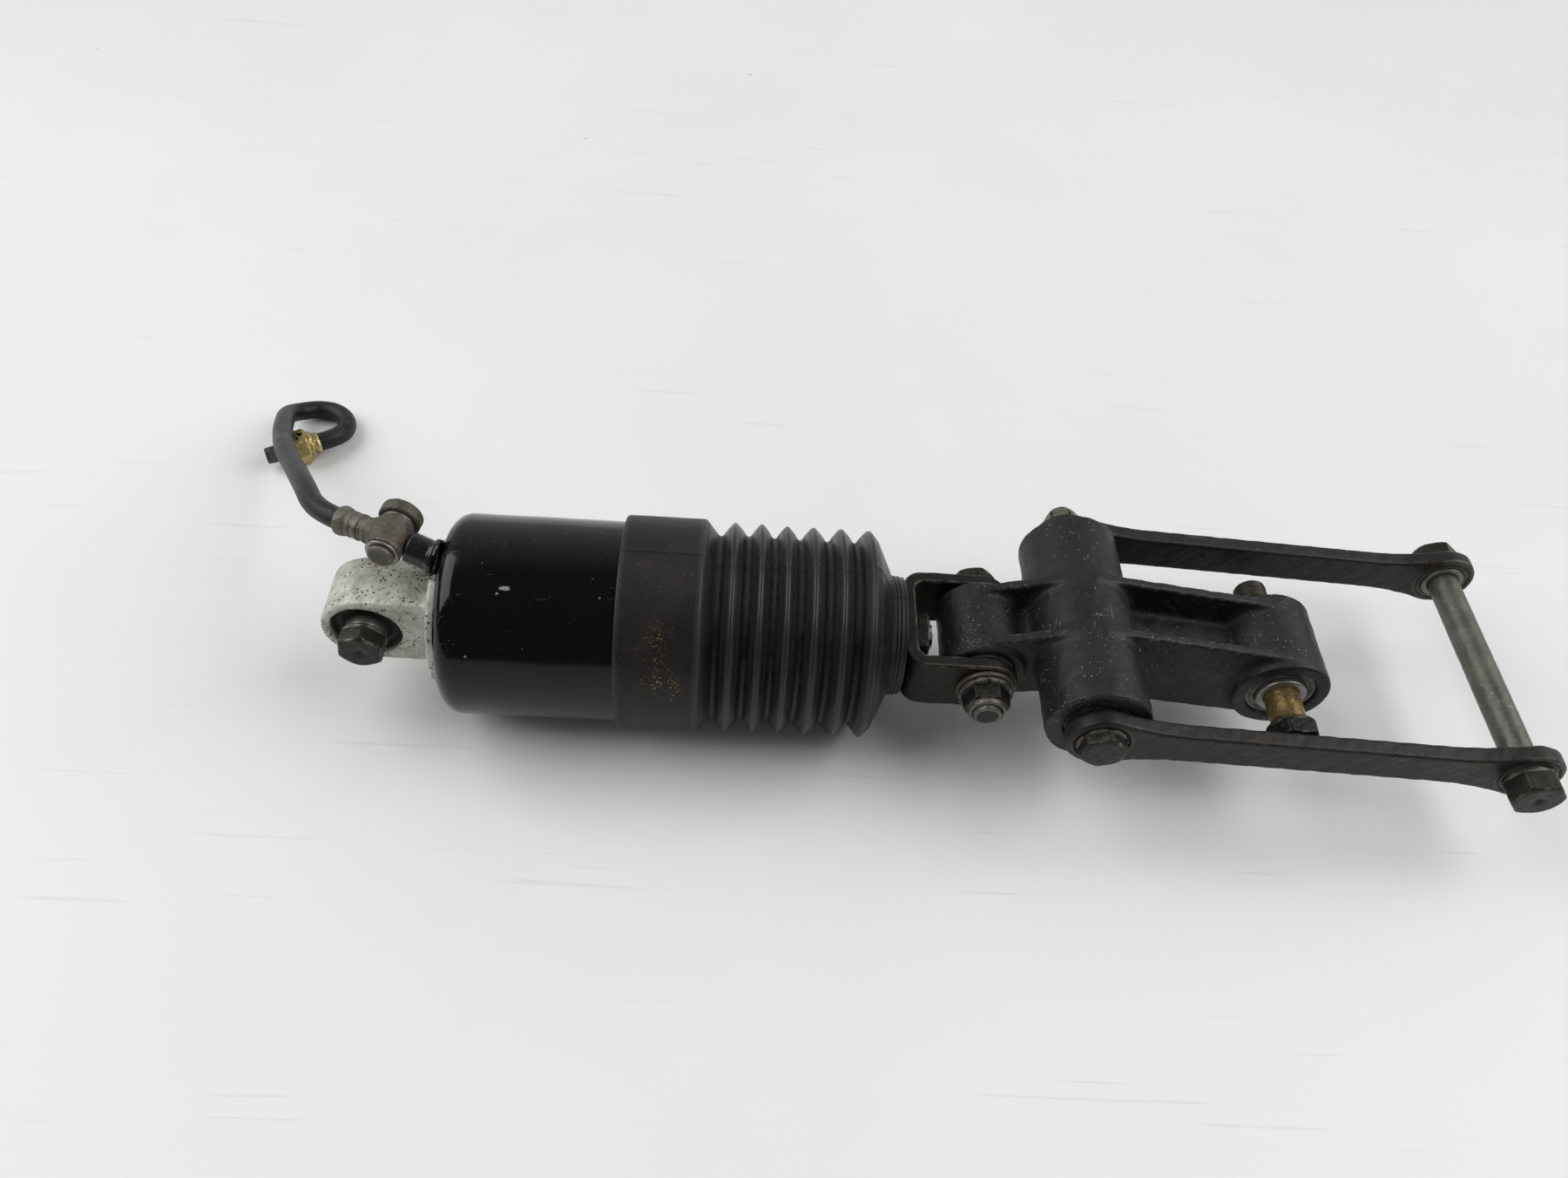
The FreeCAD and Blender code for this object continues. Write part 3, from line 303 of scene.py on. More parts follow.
M["canister_paint"] = surface(
    "canister_paint", (0.0016, 0.0013, 0.0020), (0.0026, 0.0026, 0.0036), (0.085, 0.17), blotch=35, grain=700,
    grain_bump=0.02, specks=(0.12, 0.115, 0.11), speck_scale=210, speck_size=0.07,
    scratch=((0.05, 0.05, 0.055), 0.4),
    spots=[(at_row(60, -16.5, 37.5), 0.0012, 0.8, (2.2, 0.9, 1.0), (0.30, 0.28, 0.28)),
           (at_row(57.5, -18.5, 36.6), 0.0006, 0.8, (1.3, 1.0, 1.0), (0.25, 0.24, 0.23)),
           (at_row(40.5, -33.0, 22.0), 0.0042, 2.4, (0.8, 0.7, 1.0), (0.20, 0.21, 0.21)),
           (at_row(46.5, -36.0, 19.5), 0.0006, 0.7, (1.0, 1.0, 1.0), (0.30, 0.31, 0.31)),
           (at_row(37.5, 6.0, 38.8), 0.0045, 2.4, (0.8, 1.6, 1.0), (0.10, 0.028, 0.010)),
           (at_row(40.0, 20.0, 34.8), 0.0050, 2.6, (0.9, 1.6, 1.0), (0.09, 0.026, 0.010)),
           (at_row(96.0, -18.0, 36.5), 0.0006, 0.6, (1, 1, 1), (0.2, 0.2, 0.2))])
M["weld_paint"] = surface(
    "weld_paint", (0.006, 0.006, 0.0075), (0.014, 0.012, 0.012), (0.16, 0.34), blotch=160, grain=900,
    grain_bump=0.25, cast_bump=0.2, coat=0.4, coat_rough=0.12, rust=(0.13, 0.045, 0.015), rust_amount=0.9,
    edge=(0.05, 0.045, 0.045), edge_amount=0.4)
M["boot_rubber"] = surface(
    "boot_rubber", (0.0095, 0.0095, 0.0112), (0.0150, 0.0142, 0.0142), (0.30, 0.46), blotch=46, grain=1600, grain_bump=0.2,
    cast_bump=0.05, hollow_tint=(0.026, 0.021, 0.016), specks=(0.055, 0.044, 0.034), speck_scale=560, speck_size=0.15,
    edge=(0.030, 0.027, 0.025), edge_amount=0.5, spec=0.42, scratch=((0.04, 0.038, 0.036), 0.35),
    spots=[(at_row(117.5, -31.0, 31.0), 0.0050, 2.6, (1.6, 1.6, 1.6), (0.30, 0.13, 0.035)),
           (at_row(120.0, -37.0, 23.5), 0.0046, 2.4, (0.8, 1.4, 1.4), (0.46, 0.20, 0.05)),
           (at_row(118.5, -41.0, 15.5), 0.0052, 2.4, (1.0, 1.4, 1.6), (0.50, 0.25, 0.07)),
           (at_row(125.5, -41.6, 14.0), 0.0050, 2.4, (0.8, 1.4, 1.8), (0.46, 0.24, 0.08)),
           (at_row(112.0, -38.0, 21.0), 0.0130, 3.4, (0.9, 1.0, 1.0), (0.10, 0.055, 0.025))])
M["boot_cuff"] = surface(
    "boot_cuff", (0.0110, 0.0100, 0.0092), (0.0195, 0.0168, 0.0142), (0.42, 0.6), blotch=60, grain=1300, grain_bump=0.3,
    cast_bump=0.08, hollow_tint=(0.026, 0.021, 0.016), specks=(0.075, 0.056, 0.038), speck_scale=480, speck_size=0.18,
    edge=(0.042, 0.036, 0.031), edge_amount=0.5, spec=0.4, scratch=((0.05, 0.045, 0.04), 0.4), rust=(0.06, 0.032, 0.015), rust_amount=0.5,
    spots=[(at_row(117.5, -31.0, 31.0), 0.0050, 2.6, (1.6, 1.6, 1.6), (0.30, 0.13, 0.035)),
           (at_row(120.0, -37.0, 23.5), 0.0046, 2.4, (0.8, 1.4, 1.4), (0.46, 0.20, 0.05)),
           (at_row(118.5, -41.0, 15.5), 0.0052, 2.4, (1.0, 1.4, 1.6), (0.50, 0.25, 0.07)),
           (at_row(125.5, -41.6, 14.0), 0.0050, 2.4, (0.8, 1.4, 1.8), (0.46, 0.24, 0.08)),
           (at_row(112.0, -38.0, 21.0), 0.0130, 3.4, (0.9, 1.0, 1.0), (0.10, 0.055, 0.025))])
M["bush_rubber"] = surface(
    "bush_rubber", (0.008, 0.008, 0.0078), (0.018, 0.017, 0.015), (0.45, 0.65), blotch=140, grain=1500, grain_bump=0.4,
    hollow_tint=(0.045, 0.04, 0.032), specks=(0.07, 0.065, 0.055), speck_scale=700, spec=0.4)
M["seal_grey"] = surface(
    "seal_grey", (0.20, 0.195, 0.185), (0.11, 0.105, 0.10), (0.4, 0.62), blotch=260, grain=1400, grain_bump=0.35,
    hollow_tint=(0.05, 0.045, 0.04), specks=(0.4, 0.39, 0.36), speck_scale=800, rust=(0.10, 0.06, 0.03), rust_amount=0.3)
M["hose_rubber"] = surface(
    "hose_rubber", (0.010, 0.010, 0.0115), (0.021, 0.021, 0.022), (0.36, 0.56), blotch=85, grain=1500, grain_bump=0.3,
    specks=(0.10, 0.105, 0.10), speck_scale=330, speck_size=0.2, scratch=((0.12, 0.125, 0.125), 0.8), spec=0.45)
M["brass"] = surface(
    "brass", (0.52, 0.40, 0.16), (0.33, 0.25, 0.10), (0.26, 0.5), metal=0.85, blotch=190, grain=1300, grain_bump=0.35,
    cast_bump=0.15, hollow_tint=(0.09, 0.065, 0.03), edge=(0.72, 0.60, 0.32), edge_amount=0.7,
    pits=((0.10, 0.07, 0.03), 520, 0.26), specks=(0.75, 0.66, 0.42), speck_scale=600)
M["cap_plastic"] = surface(
    "cap_plastic", (0.022, 0.023, 0.022), (0.045, 0.046, 0.043), (0.4, 0.6), blotch=220, grain=1500, grain_bump=0.3,
    hollow_tint=(0.06, 0.055, 0.045), edge=(0.10, 0.10, 0.095), edge_amount=0.5)
M["plain_steel"] = surface(
    "plain_steel", (0.30, 0.295, 0.28), (0.20, 0.195, 0.18), (0.28, 0.5), metal=0.9, blotch=120, grain=1400,
    grain_bump=0.25, scratch=((0.5, 0.49, 0.47), 0.5), rust=RUST, rust_amount=0.35)
M["chrome_rod"] = surface(
    "chrome_rod", (0.55, 0.56, 0.58), (0.48, 0.49, 0.51), (0.07, 0.16), metal=1.0, blotch=60, grain=1800,
    grain_bump=0.04, scratch=((0.7, 0.7, 0.72), 0.4))
M["spring_steel"] = surface(
    "spring_steel", (0.035, 0.04, 0.05), (0.05, 0.055, 0.065), (0.3, 0.45), metal=0.3, blotch=90, grain=1200,
    grain_bump=0.2, rust=RUST, rust_amount=0.3, specks=(0.15, 0.15, 0.16), coat=0.3)
M["pressed_steel"] = surface(
    "pressed_steel", (0.014, 0.0125, 0.011), (0.026, 0.0225, 0.018), (0.34, 0.58), metal=0.35, blotch=130, grain=1100,
    grain_bump=0.4, cast_bump=0.2, edge=(0.115, 0.10, 0.072), edge_amount=0.75, hollow_tint=(0.035, 0.028, 0.02),
    specks=(0.09, 0.078, 0.058), speck_scale=480, speck_size=0.2, rust=(0.07, 0.04, 0.018), rust_amount=0.55, spec=0.45)
M["dark_fastener"] = surface(
    "dark_fastener", (0.030, 0.028, 0.024), (0.055, 0.051, 0.042), (0.32, 0.56), metal=0.6, blotch=200, grain=1100,
    grain_bump=0.4, cast_bump=0.15, edge=(0.19, 0.18, 0.15), edge_amount=0.65, hollow_tint=(0.016, 0.013, 0.010),
    specks=(0.16, 0.15, 0.12), speck_scale=520, speck_size=0.18, rust=(0.09, 0.055, 0.025), rust_amount=0.5)
M["black_head"] = surface(
    "black_head", (0.010, 0.0095, 0.0085), (0.020, 0.018, 0.015), (0.3, 0.5), metal=0.4, blotch=200, grain=1100,
    grain_bump=0.3, edge=(0.10, 0.088, 0.062), edge_amount=0.35, specks=(0.10, 0.09, 0.065), speck_scale=520)
M["rocker_paint"] = surface(
    "rocker_paint", (0.0135, 0.013, 0.0135), (0.0215, 0.0205, 0.021), (0.36, 0.6), blotch=60, grain=1250, grain_bump=0.7,
    cast_bump=0.6, edge=(0.075, 0.073, 0.078), edge_amount=0.6, hollow_tint=(0.026, 0.023, 0.018),
    specks=(0.20, 0.20, 0.20), speck_scale=520, speck_size=0.2, scratch=((0.10, 0.10, 0.10), 0.5), spec=0.5,
    # the first spot, light grey on the left boss, is partly wear and partly a painted highlight
    spots=[(at_row(244.0, -12.5, 15.4), 0.0058, 2.5, (1.0, 1.5, 1.0), (0.20, 0.205, 0.21)),
           (at_row(309.0, -15.0, 20.0), 0.0008, 0.5, (1.0, 3.0, 1.6), (0.42, 0.40, 0.34))])
M["link_paint"] = surface(
    "link_paint", (0.0175, 0.016, 0.0135), (0.031, 0.027, 0.022), (0.34, 0.56), metal=0.25, blotch=75, grain=1200,
    grain_bump=0.4, cast_bump=0.22, edge=(0.085, 0.076, 0.06), edge_amount=0.6, hollow_tint=(0.014, 0.011, 0.009),
    specks=(0.12, 0.11, 0.09), speck_scale=520, speck_size=0.16, scratch=((0.12, 0.105, 0.08), 0.5),
    rust=(0.065, 0.034, 0.016), rust_amount=0.45)
M["shaft_steel"] = surface(
    "shaft_steel", (0.075, 0.075, 0.066), (0.125, 0.122, 0.105), (0.34, 0.55), metal=0.7, blotch=90, grain=1200,
    grain_bump=0.35, edge=(0.2, 0.19, 0.16), edge_amount=0.5, specks=(0.3, 0.29, 0.25), speck_scale=480,
    scratch=((0.30, 0.29, 0.25), 0.8), rust=(0.08, 0.055, 0.03), rust_amount=0.4)
M["yellow_zinc"] = surface(
    "yellow_zinc", (0.30, 0.205, 0.075), (0.085, 0.055, 0.024), (0.3, 0.55), metal=0.7, blotch=210, grain=1200,
    grain_bump=0.4, hollow_tint=(0.04, 0.028, 0.014), pits=((0.05, 0.035, 0.018), 330, 0.3), specks=(0.62, 0.5, 0.24),
    scratch=((0.6, 0.48, 0.24), 0.5), edge=(0.5, 0.4, 0.2))
M["banjo_steel"] = surface(
    "banjo_steel", (0.050, 0.046, 0.036), (0.098, 0.090, 0.070), (0.42, 0.66), metal=0.5, blotch=230, grain=1100,
    grain_bump=0.5, cast_bump=0.3, edge=(0.19, 0.175, 0.14), edge_amount=0.5, hollow_tint=(0.03, 0.024, 0.018),
    rust=(0.17, 0.075, 0.03), rust_amount=0.8, specks=(0.3, 0.28, 0.23), speck_scale=560)


# ---------------------------------------------------------------------
# Mesh makers
# ---------------------------------------------------------------------
def piece(name, verts, faces, body, mat, nodes=(), attrs=None, material_index=None, ride=True):
    """A piece from millimetre points and quads; it rides on a body and stands for CAD nodes."""
    me = bpy.data.meshes.new(name)
    verts = row(verts).astype(np.float32)
    faces = np.asarray(faces, np.int32)
    n = len(faces)
    me.vertices.add(len(verts))
    me.vertices.foreach_set("co", verts.ravel())
    me.loops.add(n * 4)
    me.loops.foreach_set("vertex_index", faces.ravel())
    me.polygons.add(n)
    me.polygons.foreach_set("loop_start", np.arange(0, n * 4, 4, dtype=np.int32))
    me.polygons.foreach_set("loop_total", np.full(n, 4, np.int32))
    me.update(calc_edges=True)
    me.polygons.foreach_set("use_smooth", np.ones(n, bool))
    mats = mat if isinstance(mat, (list, tuple)) else [mat]
    for m in mats:
        me.materials.append(M[m])
    if material_index is not None:
        me.polygons.foreach_set("material_index", np.asarray(material_index, np.int32))
    for key, values in (attrs or {}).items():
        a = me.attributes.new(key, "FLOAT", "POINT")
        a.data.foreach_set("value", np.asarray(values, np.float32))
    me.validate()
    me.update()
    ob = bpy.data.objects.new(name, me)
    scene.collection.objects.link(ob)
    if ride:
        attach(ob, body)
    if nodes:
        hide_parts(*nodes)
    return ob


def inter(a, b, r):
    """Intersection of two distances, its edge rounded to r."""
    return (np.minimum(np.maximum(a + r, b + r), 0) + np.hypot(np.maximum(a + r, 0), np.maximum(b + r, 0)) - r)


def union(a, b, r):
    """Union of two distances, its corner filleted to r."""
    return -inter(-a, -b, r)


def polar(p, o, d):
    q = p - np.asarray(o, float)
    t = q @ d
    return t, np.sqrt(np.maximum((q * q).sum(-1) - t * t, 1e-12)), q


def barrel(p, o, d, rad, t0, t1, r=0.5, bore=None, bore_r=0.4):
    t, a, _ = polar(p, o, d)
    s = inter(a - rad, np.abs(t - (t0 + t1) / 2) - (t1 - t0) / 2, r)
    if bore is not None:
        s = inter(s, bore - a, bore_r)
    return s


def brick(p, lo, hi, r):
    lo, hi = np.asarray(lo, float), np.asarray(hi, float)
    q = np.abs(p - (lo + hi) / 2) - (hi - lo) / 2 + r
    return np.minimum(q.max(-1), 0) + np.sqrt((np.maximum(q, 0) ** 2).sum(-1)) - r


def side_axes(d):
    u = unit(np.cross(d, Z if abs(d[2]) < 0.9 else X))
    return u, np.cross(d, u)


def nut(p, o, d, af, t0, t1, turn=0.0, r=0.45, ends=(True, True)):
    """Hexagon along d, with 30 degree chamfers on the chosen ends."""
    t, a, q = polar(p, o, d)
    u, w = side_axes(d)
    x, y = q @ u, q @ w
    s = None
    for k in range(3):
        c = math.radians(turn + 60 * k)
        f = np.abs(x * math.cos(c) + y * math.sin(c)) - af / 2
        s = f if s is None else inter(s, f, r)
    s = inter(s, np.abs(t - (t0 + t1) / 2) - (t1 - t0) / 2, r * 0.6)
    for on, end, sign in ((ends[0], t0, -1), (ends[1], t1, 1)):
        if on:
            s = inter(s, ((t - end) * sign + (a - af * 0.47) * 0.5774) * 0.866, r * 0.6)
    return s


def thread(p, o, d, rad, depth, pitch, t0, t1, sign=1):
    """Threaded end: a V groove on a helix, with a lead-in chamfer at the free end."""
    t, a, q = polar(p, o, d)
    u, w = side_axes(d)
    turn = np.arctan2(q @ w, q @ u) / (2 * math.pi)
    ph = t / pitch - turn
    tri = np.abs(2 * (ph - np.floor(ph + 0.5)))
    s = (a - rad + depth * tri) * 0.8
    s = np.maximum(s, np.abs(t - (t0 + t1) / 2) - (t1 - t0) / 2)
    end = t1 if sign > 0 else t0
    return np.maximum(s, ((t - end) * sign + (a - rad + depth * 1.3)) * 0.707)


def lumps(p, size, amount, seed=0.0):
    """Slow unevenness of a casting or a worn part."""
    k = 2 * math.pi / size
    x, y, z = p[:, 0] * k, p[:, 1] * k, p[:, 2] * k
    return amount * (np.sin(x + 1.7 * np.sin(0.6 * y + seed)) * np.sin(y * 0.9 + 1.3 * np.sin(0.7 * z)) +
                     0.6 * np.sin(1.9 * z + seed + np.sin(1.1 * x)) * np.sin(1.7 * x - 0.8 * y))


def skin(f, lo, hi, h, wear=1.2):
    """Quads over f = 0, moved onto it, with how sharp each point's edge or corner is."""
    h = h * COARSE
    lo, hi = np.asarray(lo, float), np.asarray(hi, float)
    n = np.ceil((hi - lo) / h).astype(int) + 1
    ax = [lo[i] + h * np.arange(n[i]) for i in range(3)]
    F = np.empty(tuple(n), np.float32)
    yy, zz = np.meshgrid(ax[1], ax[2], indexing="ij")
    slab = max(1, int(300000 // (n[1] * n[2])))
    for i in range(0, n[0], slab):
        xs = ax[0][i:i + slab]
        P = np.empty((len(xs), n[1], n[2], 3))
        P[..., 0] = xs[:, None, None]
        P[..., 1], P[..., 2] = yy, zz
        F[i:i + slab] = f(P.reshape(-1, 3)).reshape(len(xs), n[1], n[2])
    S = F < 0
    total = np.zeros(tuple(n - 1), np.int8)
    for a in (0, 1):
        for b in (0, 1):
            for c in (0, 1):
                total += S[a:n[0] - 1 + a, b:n[1] - 1 + b, c:n[2] - 1 + c]
    act = (total > 0) & (total < 8)
    ids = np.full(act.shape, -1, np.int64)
    ci = np.argwhere(act)
    ids[act] = np.arange(len(ci))
    acc, cnt = np.zeros((len(ci), 3)), np.zeros(len(ci))
    for axis in range(3):
        o1, o2 = [k for k in range(3) if k != axis]
        for a in (0, 1):
            for b in (0, 1):
                c0 = ci.copy()
                c0[:, o1] += a
                c0[:, o2] += b
                c1 = c0.copy()
                c1[:, axis] += 1
                v0, v1 = F[tuple(c0.T)], F[tuple(c1.T)]
                x = (v0 < 0) != (v1 < 0)
                pt = c0[x].astype(float)
                pt[:, axis] += v0[x] / (v0[x] - v1[x])
                acc[x] += pt
                cnt[x] += 1
    V = lo + h * acc / cnt[:, None]
    quads = []
    for axis in range(3):
        o1, o2 = (axis + 1) % 3, (axis + 2) % 3
        head = [slice(None)] * 3
        tail = [slice(None)] * 3
        head[axis], tail[axis] = slice(0, -1), slice(1, None)
        s0, s1 = S[tuple(head)], S[tuple(tail)]
        e = np.argwhere(s0 != s1)
        e = e[(e[:, o1] >= 1) & (e[:, o2] >= 1) & (e[:, o1] <= n[o1] - 2) & (e[:, o2] <= n[o2] - 2)]
        corner = []
        for a, b in ((-1, -1), (0, -1), (0, 0), (-1, 0)):
            c = e.copy()
            c[:, o1] += a
            c[:, o2] += b
            corner.append(ids[tuple(c.T)])
        q = np.stack(corner, 1)
        flip = ~s0[tuple(e.T)]
        q[flip] = q[flip][:, ::-1]
        quads.append(q)
    Q = np.concatenate(quads)

    def grad(P):
        g = np.empty_like(P)
        for k in range(3):
            d = np.zeros(3)
            d[k] = 0.03
            g[:, k] = (f(P + d) - f(P - d)) / 0.06
        return g

    for _ in range(2):
        g = grad(V)
        d = np.clip(f(V), -h, h)
        V = V - g * (d / np.maximum((g * g).sum(-1), 0.25))[:, None]
    g = grad(V)
    nrm = g / np.maximum(np.linalg.norm(g, axis=1), 1e-6)[:, None]
    edge = np.clip((f(V - nrm * wear) + wear) / wear, 0, 1)
    cave = np.clip((3 * wear - f(V + nrm * 3 * wear)) / (3 * wear), 0, 1)
    return V, Q, {"edge": edge, "cave": cave}


def solid(name, f, lo, hi, h, body, mat, nodes=(), **more):
    V, Q, attrs = skin(f, lo, hi, h)
    return piece(name, V, Q, body, mat, nodes, attrs, **more)


def rounded(corners, n=5):
    """Closed outline of (t, r, fillet) with its corners rounded: rows of t, r, convexity."""
    pts = [np.array(c[:2], float) for c in corners]
    area = sum(a[0] * b[1] - a[1] * b[0] for a, b in zip(pts, pts[1:] + pts[:1]))
    out = []
    for i, c in enumerate(corners):
        p = pts[i]
        a, b = pts[i - 1] - p, pts[(i + 1) % len(pts)] - p
        la, lb = np.linalg.norm(a), np.linalg.norm(b)
        a, b = a / la, b / lb
        ang = math.acos(max(-1, min(1, float(a @ b))))
        rad = c[2]
        turn = (a[0] * b[1] - a[1] * b[0])
        convex = 1.0 if turn * area < 0 else -1.0
        if rad <= 0 or ang > 3.12:
            out.append((*p, 0.0))
            continue
        back_off = min(rad / math.tan(ang / 2), 0.48 * la, 0.48 * lb)
        rad = back_off * math.tan(ang / 2)
        mid = unit(a + b)
        centre = p + mid * (rad / math.sin(ang / 2))
        t0, t1 = p + a * back_off, p + b * back_off
        v0, v1 = t0 - centre, t1 - centre
        w0 = math.atan2(v0[1], v0[0])
        dw = (math.atan2(v1[1], v1[0]) - w0 + math.pi) % (2 * math.pi) - math.pi
        for k in range(n + 1):
            w = w0 + dw * k / n
            out.append((centre[0] + rad * math.cos(w), centre[1] + rad * math.sin(w), convex))
    return np.array(out)


def refine(outline, longest):
    """Adds points on the long runs of a closed outline."""
    out = []
    for a, b in zip(outline, np.roll(outline, -1, axis=0)):
        out.append(a)
        m = int(np.linalg.norm(b[:2] - a[:2]) // longest)
        for k in range(1, m + 1):
            s = k / (m + 1)
            out.append(np.array([*(a[:2] * (1 - s) + b[:2] * s), 0.0]))
    return np.array(out)


def lathe(outline, o=(0, 0, 0), d=X, seg=96, angles=None, shape=None):
    """Turns a closed outline round d. shape(t, r, angle) may move each point's radius."""
    u, w = side_axes(np.asarray(d, float))
    if angles is None:
        angles = np.linspace(0, 2 * math.pi, max(24, int(seg / COARSE)), endpoint=False)
    m, k = len(outline), len(angles)
    t = np.repeat(outline[None, :, 0], k, 0)
    r = np.repeat(outline[None, :, 1], k, 0)
    a = np.repeat(np.asarray(angles)[:, None], m, 1)
    if shape is not None:
        r = shape(t, r, a)
    V = (np.asarray(o, float) + t[..., None] * d + (r * np.cos(a))[..., None] * u + (r * np.sin(a))[..., None] * w)
    i, j = np.meshgrid(np.arange(k), np.arange(m), indexing="ij")
    i2, j2 = (i + 1) % k, (j + 1) % m
    area = sum(p[0] * q[1] - p[1] * q[0] for p, q in zip(outline, np.roll(outline, -1, axis=0)))
    Q = np.stack([i * m + j, i * m + j2, i2 * m + j2, i2 * m + j], -1).reshape(-1, 4)
    if area > 0:
        Q = Q[:, ::-1]
    cv = np.repeat(outline[None, :, 2], k, 0).ravel()
    return V.reshape(-1, 3), Q, {"edge": np.clip(cv, 0, 1) * 0.3, "cave": np.clip(-cv, 0, 1) * 0.35}


def turned(name, corners, body, mat, nodes, o=(0, 0, 0), d=X, seg=96, n=5, longest=6.0, **more):
    V, Q, attrs = lathe(refine(rounded(corners, n), longest), o, np.asarray(d, float), seg, **more)
    return piece(name, V, Q, body, mat, nodes, attrs)


def joined(parts):
    vs, qs, at, base = [], [], {"edge": [], "cave": []}, 0
    for V, Q, a in parts:
        vs.append(V)
        qs.append(Q + base)
        base += len(V)
        for k in at:
            at[k].append(a[k])
    return np.concatenate(vs), np.concatenate(qs), {k: np.concatenate(v) for k, v in at.items()}


def collar(t0, t1, outer, bore, ch=0.5):
    return [(t0, bore, ch * 0.6), (t0, outer, ch), (t1, outer, ch), (t1, bore, ch * 0.6)]


def rings(name, spans, outer, bore, body, mat, nodes, o, d=Y, ch=0.4, seg=72):
    parts = [lathe(rounded(collar(a, b, outer, bore, ch), 3), o, np.asarray(d, float), seg) for a, b in spans]
    V, Q, attrs = joined(parts)
    return piece(name, V, Q, body, mat, nodes, attrs)


# ---------------------------------------------------------------------
# Upper mount
# ---------------------------------------------------------------------
S0, S1 = np.array([31.6, 1.2, 31.2]), np.array([12.3, 6.0, 37.0])
AIM = unit(S1 - S0)
NOTCH_AT = S0 - AIM * 4.0


def eye_shape(p):
    x, y, z = p[:, 0], p[:, 1], p[:, 2]
    outline = np.where(x < 0, np.hypot(x, z), np.abs(z)) - 17.8
    arm = inter(inter(outline, np.abs(y) - 12.7, 2.0), x - 31.0, 0.3)
    foot = barrel(p, (28.3, 0, 0), X, 30.0, 0, 4.0, 1.2)
    s = union(arm, foot, 4.5)
    s = inter(s, x - 32.3, 0.3)
    s = inter(s, 14.15 - np.hypot(x, z), 1.1)
    t, a, _ = polar(p, NOTCH_AT, AIM)
    s = inter(s, np.minimum(a - 8.1, 1e3) * -1.0, 1.6)
    return s + lumps(p, 9.0, 0.10, 1.0)


solid("eye_casting", eye_shape, (-18.6, -31, -31), (33, 31, 31), 0.62, "canister_body", "cast_aluminium", ["upper_eye_mount"])
turned("eye_bush_rubber", [(-11, 9.0, 0.8), (-8.4, 10.4, 1.0), (-8.6, 12.2, 1.0), (-11, 13.4, 0.8), (-10.2, 14.1, 0.3),
                           (10.2, 14.1, 0.3), (11, 13.4, 0.8), (8.6, 12.2, 1.0), (8.4, 10.4, 1.0), (11, 9.0, 0.8),
                           (10.4, 8.6, 0.2), (-10.4, 8.6, 0.2)],
       "canister_body", "bush_rubber", ["upper_bush_rubber"], d=Y, seg=80, n=4)
rings("eye_sleeve", [(-14.5, 14.5)], 8.5, 6.05, "upper_sleeve_body", "plain_steel", ["upper_inner_sleeve"], (0, 0, 0), ch=0.6)


def upper_bolt_shape(p):
    s = barrel(p, (0, 0, 0), Y, 9.1, -15.9, -14.5, 0.35)
    s = union(s, nut(p, (0, 0, 0), Y, 17.0, -23.2, -15.3, 10.0, 0.6, (True, False)), 0.3)
    s = union(s, barrel(p, (0, 0, 0), Y, 6.0, -15.0, 14.5, 0.3), 0.2)
    s = np.minimum(s, barrel(p, (0, 0, 0), Y, 4.9, 10, 18, 0.2))
    s = np.minimum(s, thread(p, (0, 0, 0), Y, 5.95, 0.8, 1.5, 16.1, 22.5))
    t, a, _ = polar(p, (0, 0, 0), Y)
    s = inter(s, 0.35 * (3.4 - a) - (t + 23.2) * 0.9 - 0.25, 0.4)
    return s + lumps(p, 5.0, 0.05, 2.0)


solid("upper_eye_bolt", upper_bolt_shape, (-10.6, -24, -10.6), (10.6, 23.2, 10.6), 0.42, "upper_sleeve_body", "dark_fastener", ["upper_bolt"])

# ---------------------------------------------------------------------
# Canister
# ---------------------------------------------------------------------
turned("canister_shell", [(32.3, 12.0, 0.2), (32.3, 41.0, 8.0), (108.0, 41.0, 0.6), (108.0, 38.0, 0.6),
                          (35.3, 38.0, 5.0), (35.3, 12.0, 0.2)],
       "canister_body", "canister_paint", ["canister"], seg=176, n=12, longest=3.0,
       shape=lambda t, r, a: r + np.where(r > 30, 0.05 * np.sin(3 * a + t * 0.11) + 0.03 * np.sin(7 * a - t * 0.2), 0.0))

# ---------------------------------------------------------------------
# Boot: cuff, six folds, cone and ringed neck
# ---------------------------------------------------------------------
PEAKS = [145.9, 156.9, 167.3, 178.0, 189.4, 201.0]
VALLEYS = [140.4, 151.8, 162.3, 172.8, 184.2, 195.4]
outer = [(102.0, 43.8, 0.9), (134.0, 43.8, 1.6)]
for v, pk in zip(VALLEYS, PEAKS):
    outer += [(v, 36.3, 1.3), ((v + pk) / 2 - 0.35, 39.95, 3.0), (pk, 43.45, 1.15)]
    nxt = VALLEYS[VALLEYS.index(v) + 1] if v != VALLEYS[-1] else None
    if nxt:
        outer.append(((nxt + pk) / 2 + 0.35, 39.95, 3.0))
outer += [(204.5, 39.3, 4.0), (210.6, 26.2, 2.0), (211.8, 24.3, 0.5), (212.6, 25.0, 0.5), (213.4, 24.2, 0.4),
          (214.2, 24.9, 0.5), (215.0, 24.1, 0.4), (216.6, 24.5, 0.7), (216.6, 21.6, 0.2), (212.2, 21.6, 0.4)]
inner = []
for v, pk in reversed(list(zip(VALLEYS, PEAKS))):
    inner += [(pk, 39.3, 1.0), (v, 34.1, 1.0)]
inner += [(108.5, 35.5, 0.5), (108.5, 41.3, 0.3), (102.0, 41.3, 0.3)]
seam = np.radians(np.array([-1.6, -1.0, -0.62, -0.36, 0.0, 0.36, 0.62, 1.0, 1.6]))
u_x, w_x = side_axes(X)
top_angle = math.atan2(float(Z @ w_x), float(Z @ u_x))
ring_angles = np.linspace(0, 2 * math.pi, int(168 / COARSE), endpoint=False) + 0.01
keep = np.ones(len(ring_angles), bool)
extra = []
